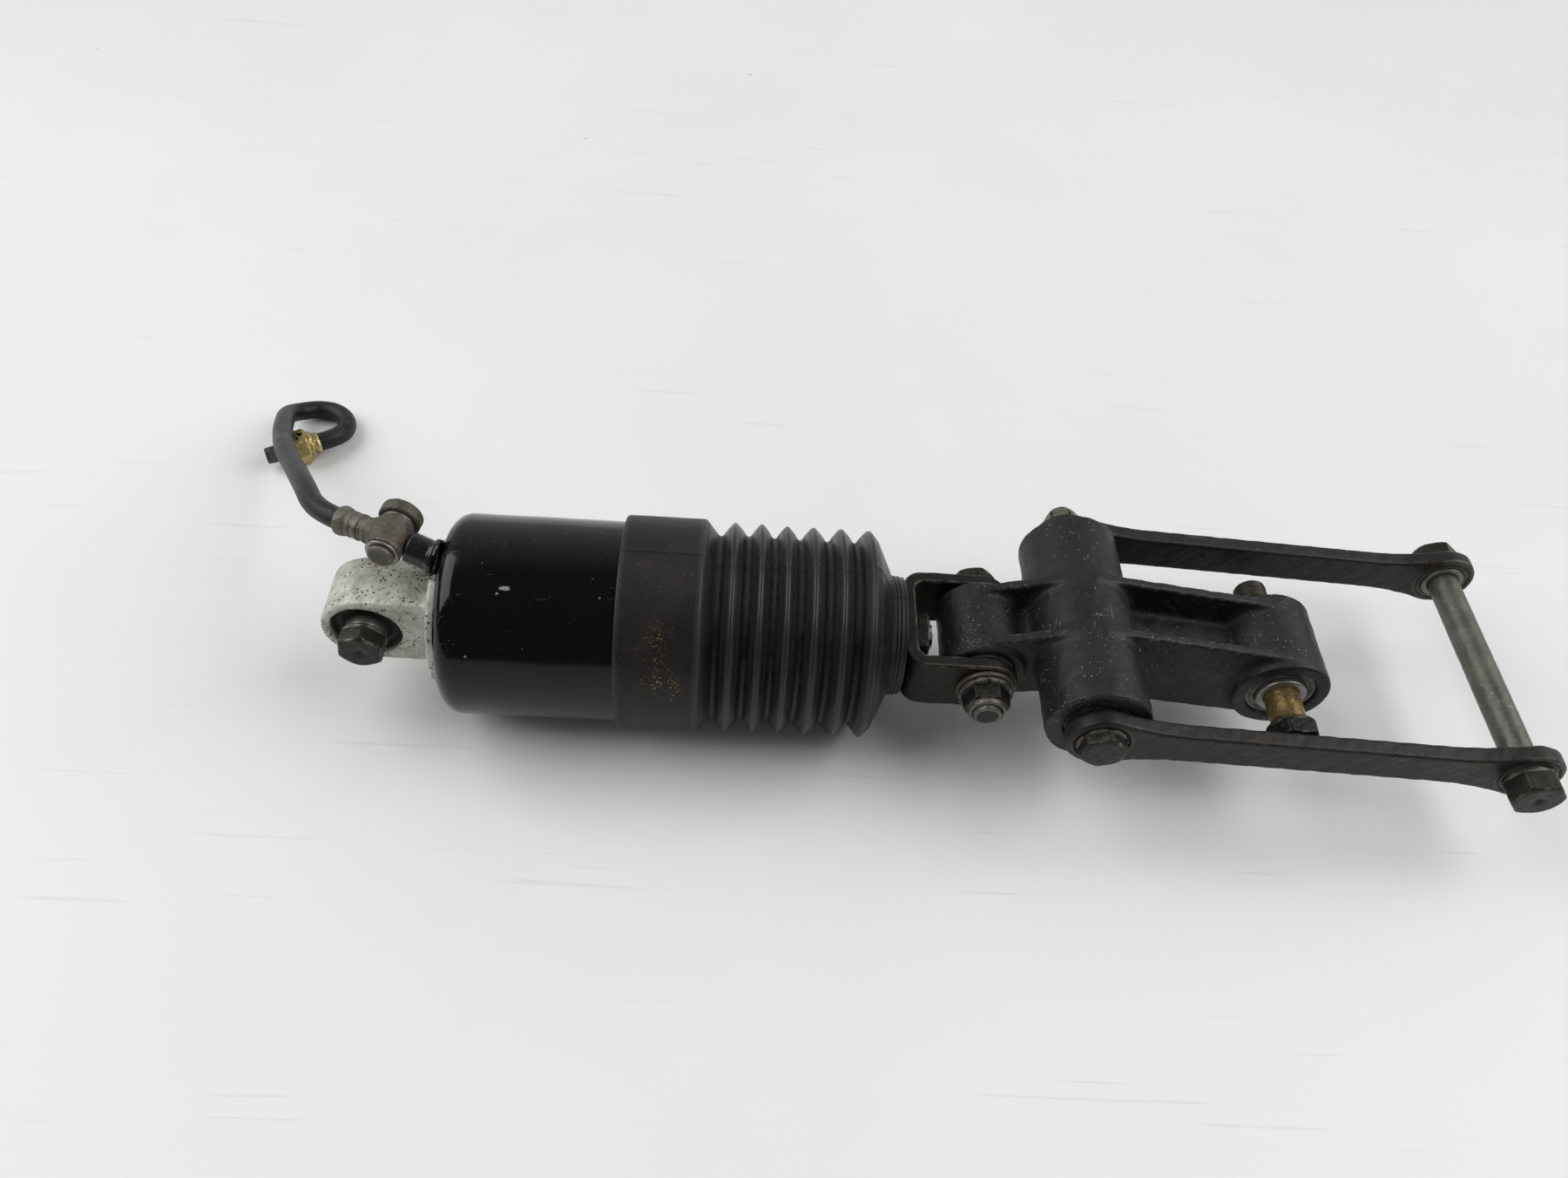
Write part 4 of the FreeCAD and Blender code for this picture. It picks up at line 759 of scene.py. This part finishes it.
for base in (top_angle, top_angle + math.pi):
    off = np.abs((ring_angles - base + math.pi) % (2 * math.pi) - math.pi)
    keep &= off > math.radians(2.2)
    extra.append((base + seam) % (2 * math.pi))
ring_angles = np.sort(np.concatenate([ring_angles[keep] % (2 * math.pi), *extra]))


def boot_shape(t, r, a):
    off = np.minimum(np.abs((a - top_angle + math.pi) % (2 * math.pi) - math.pi),
                     np.abs((a - top_angle + 2 * math.pi) % (2 * math.pi) - math.pi))
    mm = off * r
    outside = (r > 35.9) | (t > 203)
    flash = -0.34 * np.exp(-(mm / 0.28) ** 2) + 0.16 * np.exp(-((mm - 0.65) / 0.35) ** 2)
    wob = 0.16 * np.sin(2 * a + t * 0.05) + 0.10 * np.sin(5 * a + t * 0.17) + 0.08 * np.sin(3 * a - t * 0.31)
    wob = wob * np.clip((t - 130) / 10, 0.15, 1) * np.clip((211 - t) / 8, 0, 1)
    r = r + np.where(outside, flash, 0.0) + wob
    down = -(np.cos(a) * u_x[2] + np.sin(a) * w_x[2])
    low = (down > 0.5) & (r * down > SHIFT[2] - 0.05) & (r > 41.5)
    return np.where(low, (SHIFT[2] - 0.05) / np.maximum(down, 0.5), r)


V, Q, attrs = lathe(refine(rounded(outer + inner, 6), 2.2), (0, 0, 0), X, angles=ring_angles, shape=boot_shape)
mid = V[Q].mean(1)
boot = piece("boot_bellows", V, Q, "canister_body", ["boot_rubber", "boot_cuff"], ["boot"], attrs,
             np.where(mid[:, 0] < 135.6, 1, 0), ride=False)
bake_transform(boot)

# ---------------------------------------------------------------------
# Spring inside the boot
# ---------------------------------------------------------------------
def coil():
    turns, mean, wire = 7.0, 27.0, 4.4
    x0, x1 = 50.2 + wire, 50.2 + 149.4 - wire
    n, k = int(turns * 44 / COARSE), 18
    s = np.linspace(0, 1, n)
    a = s * turns * 2 * math.pi
    centre = np.stack([x0 + (x1 - x0) * s, -mean * np.sin(a), mean * np.cos(a)], -1)
    tan = np.gradient(centre, axis=0)
    tan /= np.linalg.norm(tan, axis=1)[:, None]
    out = np.stack([np.zeros(n), -np.sin(a), np.cos(a)], -1)
    side = np.cross(tan, out)
    th = np.linspace(0, 2 * math.pi, k, endpoint=False)
    rings_, loop = [], np.cos(th)[None, :, None] * out[:, None] + np.sin(th)[None, :, None] * side[:, None]
    body_ = centre[:, None] + loop * (wire - 0.02)
    ends = []
    for idx, sg in ((0, -1), (n - 1, 1)):
        caps = []
        for f in (0.96, 0.82, 0.55, 0.02):
            caps.append(centre[idx] + loop[idx] * wire * f + tan[idx] * sg * 0.9 * math.sqrt(max(0, 1 - f * f)))
        ends.append(caps)
    allr = np.array([*ends[0][::-1], *body_, *ends[1]])
    m = len(allr)
    i, j = np.meshgrid(np.arange(m - 1), np.arange(k), indexing="ij")
    Qc = np.stack([i * k + j, (i + 1) * k + j, (i + 1) * k + (j + 1) % k, i * k + (j + 1) % k], -1).reshape(-1, 4)
    return allr.reshape(-1, 3), Qc


V, Q = coil()
spring = piece("main_spring_coil", V, Q, "canister_body", "spring_steel", ["coil_spring"], ride=False)
bm = bmesh.new()
bm.from_mesh(spring.data)
bmesh.ops.remove_doubles(bm, verts=bm.verts, dist=1e-6)
bmesh.ops.holes_fill(bm, edges=bm.edges, sides=0)
bmesh.ops.recalc_face_normals(bm, faces=bm.faces)
bm.to_mesh(spring.data)
bm.free()
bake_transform(spring)
turned("bump_rubber", [(179, 6.6, 0.2), (179, 10, 0.8), (184, 14, 1.4), (188, 11, 1.2), (192, 14, 1.4), (196, 11, 1.2),
                       (199.6, 14, 0.8), (199.6, 6.6, 0.2)], "rod_body", "bush_rubber", ["bump_stop"], seg=64)

# ---------------------------------------------------------------------
# Clevis
# ---------------------------------------------------------------------
def clevis_shape(p):
    x, y, z = p[:, 0], p[:, 1], p[:, 2]
    ay = np.abs(y)
    out = inter(217.0 - x, ay - 24.4, 8.5)
    hollow = inter(222.0 - x, ay - 19.0, 4.2)
    strap = inter(out, -hollow, 0.5)
    ear = np.where(x > 250, np.hypot(x - 250, z), np.abs(z)) - 13.4
    s = inter(strap, ear, 0.9)
    bore = np.where(ay > 15, 6.15 - np.hypot(x - 250, z), -50.0)
    s = inter(s, bore, 0.4)
    s = np.where(x < 230, inter(s, 5.15 - np.hypot(y, z), 0.3), s)
    return s + lumps(p, 11.0, 0.07, 0.3)


solid("clevis_strap", clevis_shape, (216, -25.4, -14.4), (264.6, 25.4, 14.4), 0.55, "rod_body", "pressed_steel", ["clevis"])
solid("rod_lock_nut", lambda p: inter(nut(p, (0, 0, 0), X, 19.0, 222.05, 228.0, 0, 0.5), 5.05 - np.hypot(p[:, 1], p[:, 2]), 0.3),
      (221.5, -11.5, -11.5), (228.6, 11.5, 11.5), 0.5, "rod_body", "dark_fastener", ["rod_nut"])
PC = (250.0, 0.0, 0.0)


def clevis_bolt_shape(p):
    s = barrel(p, PC, Y, 10.5, 24.4, 26.2, 0.5)
    s = union(s, nut(p, PC, Y, 17.0, 25.4, 32.9, 15.0, 0.7, (False, True)), 0.5)
    s = np.minimum(s, barrel(p, PC, Y, 6.0, -26.0, 25.0, 0.2))
    s = np.minimum(s, thread(p, PC, Y, 5.95, 0.75, 1.5, -38.2, -25.0, -1))
    return s + lumps(p, 5.0, 0.05, 0.5)


solid("clevis_bolt_body", clevis_bolt_shape, (239, -39, -11), (261, 33.8, 11), 0.5, "rod_body", "dark_fastener", ["clevis_bolt"])
rings("clevis_flat_washer", [(-26.4, -24.42)], 12.0, 6.2, "rod_body", "pressed_steel", ["clevis_washer"], PC, ch=0.7)


def clevis_nut_shape(p):
    s = barrel(p, PC, Y, 11.2, -28.6, -26.45, 0.8)
    s = union(s, nut(p, PC, Y, 17.0, -34.7, -27.6, 22.0, 0.8, (True, False)), 0.9)
    s = union(s, barrel(p, PC, Y, 7.6, -36.7, -33.0, 0.8), 0.6)
    t, a, _ = polar(p, PC, Y)
    return inter(s, 6.05 - a, 0.5) + lumps(p, 4.0, 0.07, 4.0)


solid("clevis_flange_nut", clevis_nut_shape, (238, -37.4, -12), (262, -26, 12), 0.42, "rod_body", "dark_fastener", ["clevis_nut"])

# ---------------------------------------------------------------------
# Rocker arm
# ---------------------------------------------------------------------
P1, P2, P3 = np.array([250.0, 0, 0.0]), np.array([291.0, 0, 9.0]), np.array([374.5, 0, -1.8])


def arm(p, a, b, ra, rb, web=4.0):
    """Two ribs with a web between them, from pivot a to pivot b."""
    ax, az = b[0] - a[0], b[2] - a[2]
    ln = math.hypot(ax, az)
    ux, uz = ax / ln, az / ln
    s = (p[:, 0] - a[0]) * ux + (p[:, 2] - a[2]) * uz
    w = -(p[:, 0] - a[0]) * uz + (p[:, 2] - a[2]) * ux
    half = (ra + (rb - ra) * s / ln) * 1.0
    ends = np.abs(s - ln / 2) - ln / 2
    rib = inter(inter(np.abs(w) - half, np.abs(np.abs(p[:, 1]) - 13.6) - 2.05, 0.9), ends, 0.2)
    flat = inter(inter(np.abs(w) - web, np.abs(p[:, 1]) - 14.0, 0.5), ends, 0.2)
    return union(rib, flat, 1.8)


def rocker_shape(p):
    y = p[:, 1]
    d1, d2, d3 = (np.hypot(p[:, 0] - c[0], p[:, 2] - c[2]) for c in (P1, P2, P3))
    b1 = inter(d1 - 17.1, np.abs(y) - 17.6, 1.3)
    b2 = inter(d2 - 20.8, np.abs(y) - 46.5, 1.1)
    b3 = inter(d3 - 19.7, np.abs(y) - 19.3, 1.3)
    s = np.minimum(arm(p, P1, P2, 16.9, 20.2), arm(p, P2, P3, 20.2, 19.2))
    s = union(s, b2, 2.4)
    s = union(s, b1, 1.8)
    s = union(s, b3, 1.8)
    s = s + lumps(p, 13.0, 0.10, 0.0) + lumps(p, 3.1, 0.025, 2.0)
    s = inter(s, 12.6 - d1, 0.9)
    s = inter(s, 13.4 - d2, 1.2)
    return inter(s, 14.2 - d3, 1.1)


solid("rocker_casting", rocker_shape, (231.5, -48, -23.5), (396, 48, 31.5), 0.85, "rocker_body", "rocker_paint", ["rocker_arm"])


def seal_rings(name, spans, outer_, bore_, o, node):
    """Lip seals: a pressed case with a rubber lip that stands proud of it."""
    parts = []
    for a, b, s in spans:
        t0, t1 = (a, b) if s > 0 else (b, a)
        parts.append(lathe(rounded([(t0, outer_, 0.2), (t1, outer_, 0.4), (t1, outer_ - 1.1, 0.4), (t1 - 0.5 * s, outer_ - 1.7, 0.3),
                                    (t1 - 0.5 * s, bore_ + 0.9, 0.3), (t1 - 0.05 * s, bore_ + 0.35, 0.2), (t1 - 0.9 * s, bore_, 0.3),
                                    (t0, bore_, 0.2)], 3), o, Y, 72))
    V, Q, attrs = joined(parts)
    return piece(name, V, Q, "rocker_body", "seal_grey", [node], attrs)


seal_rings("clevis_lip_seals", [(13.6, 17.4, 1), (-17.4, -13.6, -1)], 12.55, 9.08, P1, "clevis_pivot_seals")
seal_rings("tie_lip_seals", [(40.3, 44.8, 1), (-44.8, -40.3, -1)], 13.35, 9.08, P2, "tie_pivot_seals")
seal_rings("frame_lip_seals", [(14.2, 17.8, 1), (-17.8, -14.2, -1)], 14.15, 10.28, P3, "frame_pivot_seals")
rings("frame_sleeve_tube", [(-20.0, 20.0)], 10.2, 7.06, "pivot_sleeve_body", "plain_steel", ["frame_pivot_sleeve"], P3, ch=0.8)


def frame_bolt_head(p):
    s = barrel(p, P3, Y, 9.8, -36.0, -35.0, 0.35)
    s = union(s, nut(p, P3, Y, 19.0, -43.4, -35.6, 30.0, 0.7, (True, True)), 0.4)
    return s + lumps(p, 5.0, 0.06, 7.0)


def frame_bolt_shape(p):
    s = np.minimum(frame_bolt_head(p), barrel(p, P3, Y, 7.0, -35.5, 20.0, 0.4) + lumps(p, 4.0, 0.04, 3.0))
    s = np.minimum(s, barrel(p, P3, Y, 5.8, 15, 23, 0.2))
    return np.minimum(s, thread(p, P3, Y, 6.95, 0.85, 1.5, 21.6, 38.0))


V, Q, attrs = skin(frame_bolt_shape, (363, -44.2, -13.4), (386, 38.8, 9.8), 0.45)
mid = V[Q].mean(1)
index = np.where((mid[:, 1] < -34.6) | (mid[:, 1] > 20.5), 1, 0)
piece("frame_pivot_bolt_body", V, Q, "pivot_bolt_body", ["yellow_zinc", "black_head"], ["frame_pivot_bolt"], attrs, index)

# ---------------------------------------------------------------------
# Tie rods
# ---------------------------------------------------------------------
P4 = np.array([465.5, 0, -0.6])
LINK = math.hypot(P4[0] - P2[0], P4[2] - P2[2])
LU = unit(P4 - P2)
LW = np.array([-LU[2], 0, LU[0]])


RUN = [0, 4, 7, 10, 13, 16, 20, 24, 28, 33, 90]
HALF = [13.6, 13.1, 12.3, 11.5, 10.8, 10.2, 9.5, 9.0, 8.65, 8.4, 8.35]


def link_shape(side):
    yc = side * 50.8

    def f(p):
        q = p - P2
        s, w, y = q @ LU, q @ LW, p[:, 1] - yc
        e0, e1 = np.hypot(s, w), np.hypot(s - LINK, w)
        half = np.interp(np.minimum(s, LINK - s), RUN, HALF)
        bar = np.maximum((np.abs(w) - half) * 0.97, np.abs(s - LINK / 2) - LINK / 2)
        flat = np.minimum(np.minimum(e0 - 13.8, bar), e1 - 13.8)
        out = inter(flat, np.abs(y) - 3.5, 1.3)
        face = y * side                                  # +3.5 on the outer face
        out = np.maximum(out, -np.maximum(e0 - 10.9, 2.5 - face) - 0.0)
        out = inter(out, 6.15 - e0, 0.5)
        out = inter(out, 9.0 - e1, 0.7)
        groove = np.abs(e1 - 11.1) - 0.55
        out = np.maximum(out, -np.maximum(groove, 3.05 - face))
        groove = np.abs(e1 - 11.1) - 0.55
        out = np.maximum(out, -np.maximum(groove, 3.05 + face))
        return out + lumps(p, 12.0, 0.08, side)
    return f


for side, label in ((-1, "front"), (1, "back")):
    solid("tie_rod_" + label + "_forging", link_shape(side), (276, side * 50.8 - 4.4, -16), (481, side * 50.8 + 4.4, 24.4), 0.6,
          "tie_rod_body", "link_paint", ["tie_rod_" + label])


def tie_bolt_shape(p):
    s = nut(p, P2, Y, 17.0, -59.3, -53.2, 5.0, 1.0, (True, False))
    s = union(s, barrel(p, P2, Y, 9.9, -54.6, -53.0, 0.5), 0.6)
    s = np.minimum(s, barrel(p, P2, Y, 6.0, -55.0, 56.0, 0.3))
    s = np.minimum(s, thread(p, P2, Y, 5.95, 0.75, 1.5, 54.0, 66.5))
    return s + lumps(p, 6.0, 0.09, 1.5)


solid("tie_pivot_bolt_body", tie_bolt_shape, (280, -60.2, -2), (302, 67.2, 20), 0.5, "tie_rod_body", "dark_fastener", ["tie_pivot_bolt"])


def tie_nut_shape(p):
    s = barrel(p, P2, Y, 8.6, 54.35, 56.1, 0.5)
    s = union(s, nut(p, P2, Y, 14.8, 55.2, 63.3, 12.0, 0.6, (False, True)), 0.5)
    t, a, _ = polar(p, P2, Y)
    return inter(s, 6.05 - a, 0.4) + lumps(p, 5.0, 0.05, 2.5)


solid("tie_pivot_nut_body", tie_nut_shape, (281, 53.9, -1), (301, 64, 19), 0.42, "tie_rod_body", "dark_fastener", ["tie_pivot_nut"])
rings("tie_end_bush_rings", [(46.4, 54.6), (-54.6, -46.4)], 8.95, 6.36, "tie_rod_body", "shaft_steel", ["tie_end_bushes"], P4, ch=0.8)


def far_bolt_shape(p):
    s = barrel(p, P4, Y, 9.9, -55.8, -54.7, 0.35)
    s = union(s, nut(p, P4, Y, 19.0, -65.0, -55.5, 20.0, 0.8, (True, False)), 0.4)
    s = np.minimum(s, barrel(p, P4, Y, 6.3, -56.0, 56.0, 0.3))
    s = np.minimum(s, thread(p, P4, Y, 6.25, 0.8, 1.5, 54.5, 66.0))
    t, a, _ = polar(p, P4, Y)
    s = inter(s, 0.35 * (3.8 - a) - (t + 65.0) * 0.9 - 0.25, 0.4)
    return s + lumps(p, 9.0, 0.05, 5.0)


V, Q, attrs = skin(far_bolt_shape, (453.5, -66, -12.6), (477.5, 66.8, 11.4), 0.48)
mid = V[Q].mean(1)
index = np.where(mid[:, 1] < -54.6, 1, 0)
piece("far_bolt_shaft", V, Q, "far_bolt_body", ["shaft_steel", "dark_fastener"], ["far_bolt"], attrs, index)


def far_nut_shape(p):
    s = barrel(p, P4, Y, 10.7, 54.85, 56.8, 0.7)
    s = union(s, nut(p, P4, Y, 19.0, 55.8, 63.3, 8.0, 0.7, (False, True)), 0.6)
    t, a, _ = polar(p, P4, Y)
    return inter(s, 6.35 - a, 0.4) + lumps(p, 5.0, 0.06, 6.5)


solid("far_nut_body", far_nut_shape, (454, 54.3, -12.2), (477, 64, 11), 0.45, "far_bolt_body", "dark_fastener", ["far_nut"])

# ---------------------------------------------------------------------
# Air fitting
# ---------------------------------------------------------------------
STUB = float(np.linalg.norm(S1 - S0)) - 7.2 - 0.6
ca, sa = math.cos(math.radians(-10)), math.sin(math.radians(-10))
UA = np.array([-sa, ca, 0.0])
HD = unit((-0.905, 0.415, -0.09))
FER0 = S1 + HD * 12.6
EXIT = FER0 + HD * 11.0


def stub_shape(p):
    t, a, q = polar(p, S0, AIM)
    tube = inter(a - 6.2, np.abs(t - STUB / 2 + 0.4) - STUB / 2 - 0.4, 0.5)
    bead = np.hypot(a - 6.1, t - 2.0 - 0.35 * (q @ Z) * 0.3) - 1.45 - 0.12 * np.sin(11 * np.arctan2(q @ Y, q @ Z) + 1.0)
    s = union(tube, bead, 0.8)
    s = inter(s, p[:, 0] - 32.25, 0.1)
    return inter(s, 3.0 - a, 0.4)


solid("air_stub_tube", stub_shape, (12, -9, 22), (34, 14, 46), 0.4, "canister_body", "weld_paint", ["air_stub"])


def union_shape(p):
    t, a, q = polar(p, S1, UA)
    s = inter(a - 7.2, np.abs(t) - 7.3, 0.8)
    th, ah, qh = polar(p, S1, HD)
    flats = nut(p, S1, HD, 10.6, 2.0, 10.2, 20.0, 0.9, (False, True))
    s = union(s, flats, 2.2)
    s = union(s, barrel(p, S1, HD, 5.1, 9.6, 12.6, 0.6), 0.6)
    s = inter(s, 4.25 - a, 0.2)
    return s + lumps(p, 4.5, 0.10, 1.1)


solid("banjo_union_block", union_shape, (-4, -6, 27), (22, 20, 48), 0.42, "canister_body", "banjo_steel", ["banjo_union"])


def banjo_bolt_shape(p):
    t, a, q = polar(p, S1, UA)
    head = inter(a - 8.4, np.abs(t - 11.4) - 3.1, 1.3)
    head = inter(head, (t - 14.6) + (a - 5.5) * 0.32, 0.8)
    s = np.minimum(head, barrel(p, S1, UA, 4.0, -10.5, 9.0, 0.2))
    s = union(s, barrel(p, S1, UA, 5.2, -10.6, -8.45, 0.6), 0.3)
    return s + lumps(p, 4.0, 0.07, 8.0)


solid("banjo_bolt_body", banjo_bolt_shape, (0, -7, 27.5), (25, 22.5, 46.5), 0.42, "canister_body", "banjo_steel", ["banjo_bolt"])
rings("banjo_seal_washers", [(7.42, 8.38), (-8.38, -7.42)], 6.6, 4.25, "canister_body", "plain_steel", ["banjo_washers"], S1, d=UA, ch=0.25, seg=56)


def ferrule_shape(p):
    t, a, _ = polar(p, FER0, HD)
    rad = 5.45 + 0.65 * np.clip((t - 6.5) / 3.4, 0, 1) - 0.42 * np.exp(-((t - 3.2) / 0.9) ** 2) - 0.42 * np.exp(-((t - 6.2) / 0.9) ** 2)
    s = inter(a - rad, np.abs(t - 5.5) - 5.5, 0.5)
    s = inter(s, np.where(t > 1.2, 4.55, 2.5) - a, 0.1)
    return s + lumps(p, 4.0, 0.05, 2.2)


solid("hose_crimp_ferrule", ferrule_shape, (-17, 2, 27), (7, 24, 43), 0.4, "canister_body", "banjo_steel", ["hose_ferrule"])

AV = unit((-0.882, -0.471, 0.0))
V0 = np.array([-62.6, 129.0, -34.55])


def fitting_shape(p):
    t, a, q = polar(p, V0, AV)
    s = barrel(p, V0, AV, 5.2, 0.0, 4.4, 0.7)
    s = union(s, barrel(p, V0, AV, 6.6, 3.2, 6.8, 1.0), 0.8)
    s = union(s, nut(p, V0, AV, 15.8, 5.2, 12.8, 30.0, 1.3, (True, True)), 0.7)
    s = union(s, barrel(p, V0, AV, 6.2, 12.0, 15.2, 0.7), 0.7)
    s = np.minimum(s, thread(p, V0, AV, 2.9, 0.4, 0.8, 14.5, 23.6))
    s = inter(s, 1.5 - np.where(t > 3, a, 9.0), 0.1)
    return s + lumps(p, 5.0, 0.13, 0.9)


def cap_shape(p):
    t, a, q = polar(p, V0, AV)
    u, w = side_axes(AV)
    ang = np.arctan2(q @ w, q @ u)
    s = inter(a - 4.0 + 0.16 * np.cos(18 * ang) * np.clip((25 - t) / 2, 0, 1), np.abs(t - 20.8) - 5.2, 1.0)
    return inter(s, np.where(t < 24.4, 2.98, -5.0) - a, 0.1)


fitting = solid("valve_brass_fitting", fitting_shape, (-88, 111, -44.2), (-56, 139, -27), 0.4, "canister_body", "brass", ["valve_fitting"])
cap = solid("valve_dust_cap", cap_shape, (-91, 111, -40.6), (-71, 127, -30.8), 0.35, "valve_cap_body", "cap_plastic", ["valve_cap"])
hose.data.materials.append(M["hose_rubber"])

# ---------------------------------------------------------------------
# CAD nodes that stay, with their finishes
# ---------------------------------------------------------------------
KEPT = {
    "damper_tube": "plain_steel", "rod_guide": "plain_steel", "rod_seal": "bush_rubber", "upper_spring_seat": "spring_steel",
    "free_piston": "plain_steel", "free_piston_ring": "bush_rubber", "piston_rod": "chrome_rod", "piston": "plain_steel",
    "piston_ring": "bush_rubber", "piston_nut": "plain_steel", "lower_spring_seat": "spring_steel",
    "clevis_pivot_sleeve": "plain_steel", "clevis_pivot_bearing": "plain_steel", "tie_pivot_bearings": "plain_steel",
    "frame_pivot_bearing": "plain_steel", "tie_pivot_sleeve": "plain_steel", "valve_core": "brass",
}
for name, ob in NODES.items():
    if ob.hide_render:
        continue
    finish_name = KEPT.get(name, "plain_steel")
    ob.data.materials.clear()
    ob.data.materials.append(M[finish_name])

# ---------------------------------------------------------------------
# Floor, wall, light
# ---------------------------------------------------------------------
def board(name, corners, scale):
    me = bpy.data.meshes.new(name)
    me.from_pydata(corners, [], [(0, 1, 2, 3)])
    t = Tree(name)
    cloud = t.noise(2.2, 5.0, 0.6)
    colour = t.mix(t.step(cloud, 0.3, 0.7), (0.80, 0.80, 0.80), (0.84, 0.84, 0.835))
    line = None
    for turn in (0.9, -0.55, 2.1):
        one = t.noise(1.0, 2.0, 0.5, t.mapped((6.0, 260, 1), (0, 0, turn), (turn, 3 * turn, 0)))
        one = t.math("MULTIPLY", t.step(one, 0.69, 0.71), t.step(t.noise(8, 2, 0.5, t.mapped((1, 1, 1), (0, 0, turn), (5 * turn, 0, 0))), 0.5, 0.6))
        line = one if line is None else t.math("MAXIMUM", line, one)
    colour = t.mix(t.math("MULTIPLY", line, 0.2), colour, (0.5, 0.5, 0.49))
    dots = t.math("MULTIPLY", t.step(t.voronoi(17.0), 0.024, 0.014), t.step(t.noise(9, 2), 0.5, 0.56))
    colour = t.mix(t.math("MULTIPLY", dots, 0.5), colour, (0.12, 0.11, 0.09))
    t.link(colour, t.bsdf.inputs["Base Color"])
    t.link(t.step(cloud, 0.3, 0.7, (0.42, 0.55)), t.bsdf.inputs["Roughness"])
    t.bump([(t.noise(90, 3), 0.05, 0.0003)])
    me.materials.append(t.mat)
    ob = bpy.data.objects.new(name, me)
    scene.collection.objects.link(ob)
    return ob


floor = board("floor_board", [(-8, -8, 0), (8, -8, 0), (8, 8, 0), (-8, 8, 0)], 1.0)

world = bpy.data.worlds.new("studio")
scene.world = world
world.use_nodes = True
wt = world.node_tree
bg = wt.nodes["Background"]
tc = wt.nodes.new("ShaderNodeTexCoord")
sep = wt.nodes.new("ShaderNodeSeparateXYZ")
wt.links.new(tc.outputs["Generated"], sep.inputs[0])
ramp = wt.nodes.new("ShaderNodeMapRange")
ramp.interpolation_type = "SMOOTHSTEP"
ramp.inputs["From Min"].default_value = 0.12
ramp.inputs["From Max"].default_value = 0.95
ramp.inputs["To Min"].default_value = 0.14
ramp.inputs["To Max"].default_value = 0.58
wt.links.new(sep.outputs["Y"], ramp.inputs["Value"])
bg.inputs["Color"].default_value = (0.94, 0.985, 0.97, 1)
wt.links.new(ramp.outputs["Result"], bg.inputs["Strength"])


def panel(name, place, aim, size, watts, tint=(1, 1, 1)):
    li = bpy.data.lights.new(name, "AREA")
    li.shape = "RECTANGLE"
    li.size, li.size_y = size
    li.energy = watts
    li.color = tint
    ob = bpy.data.objects.new(name, li)
    ob.location = place
    ob.rotation_mode = "QUATERNION"
    ob.rotation_quaternion = (Vector(aim) - Vector(place)).to_track_quat("-Z", "Y")
    scene.collection.objects.link(ob)
    return ob


panel("left_box", (-2.3, 0.35, 2.1), (0, 0, 0), (2.8, 2.8), 71)
panel("right_box", (2.3, 0.15, 2.1), (0, 0, 0), (2.8, 2.8), 71)
scene.view_settings.view_transform = "Standard"
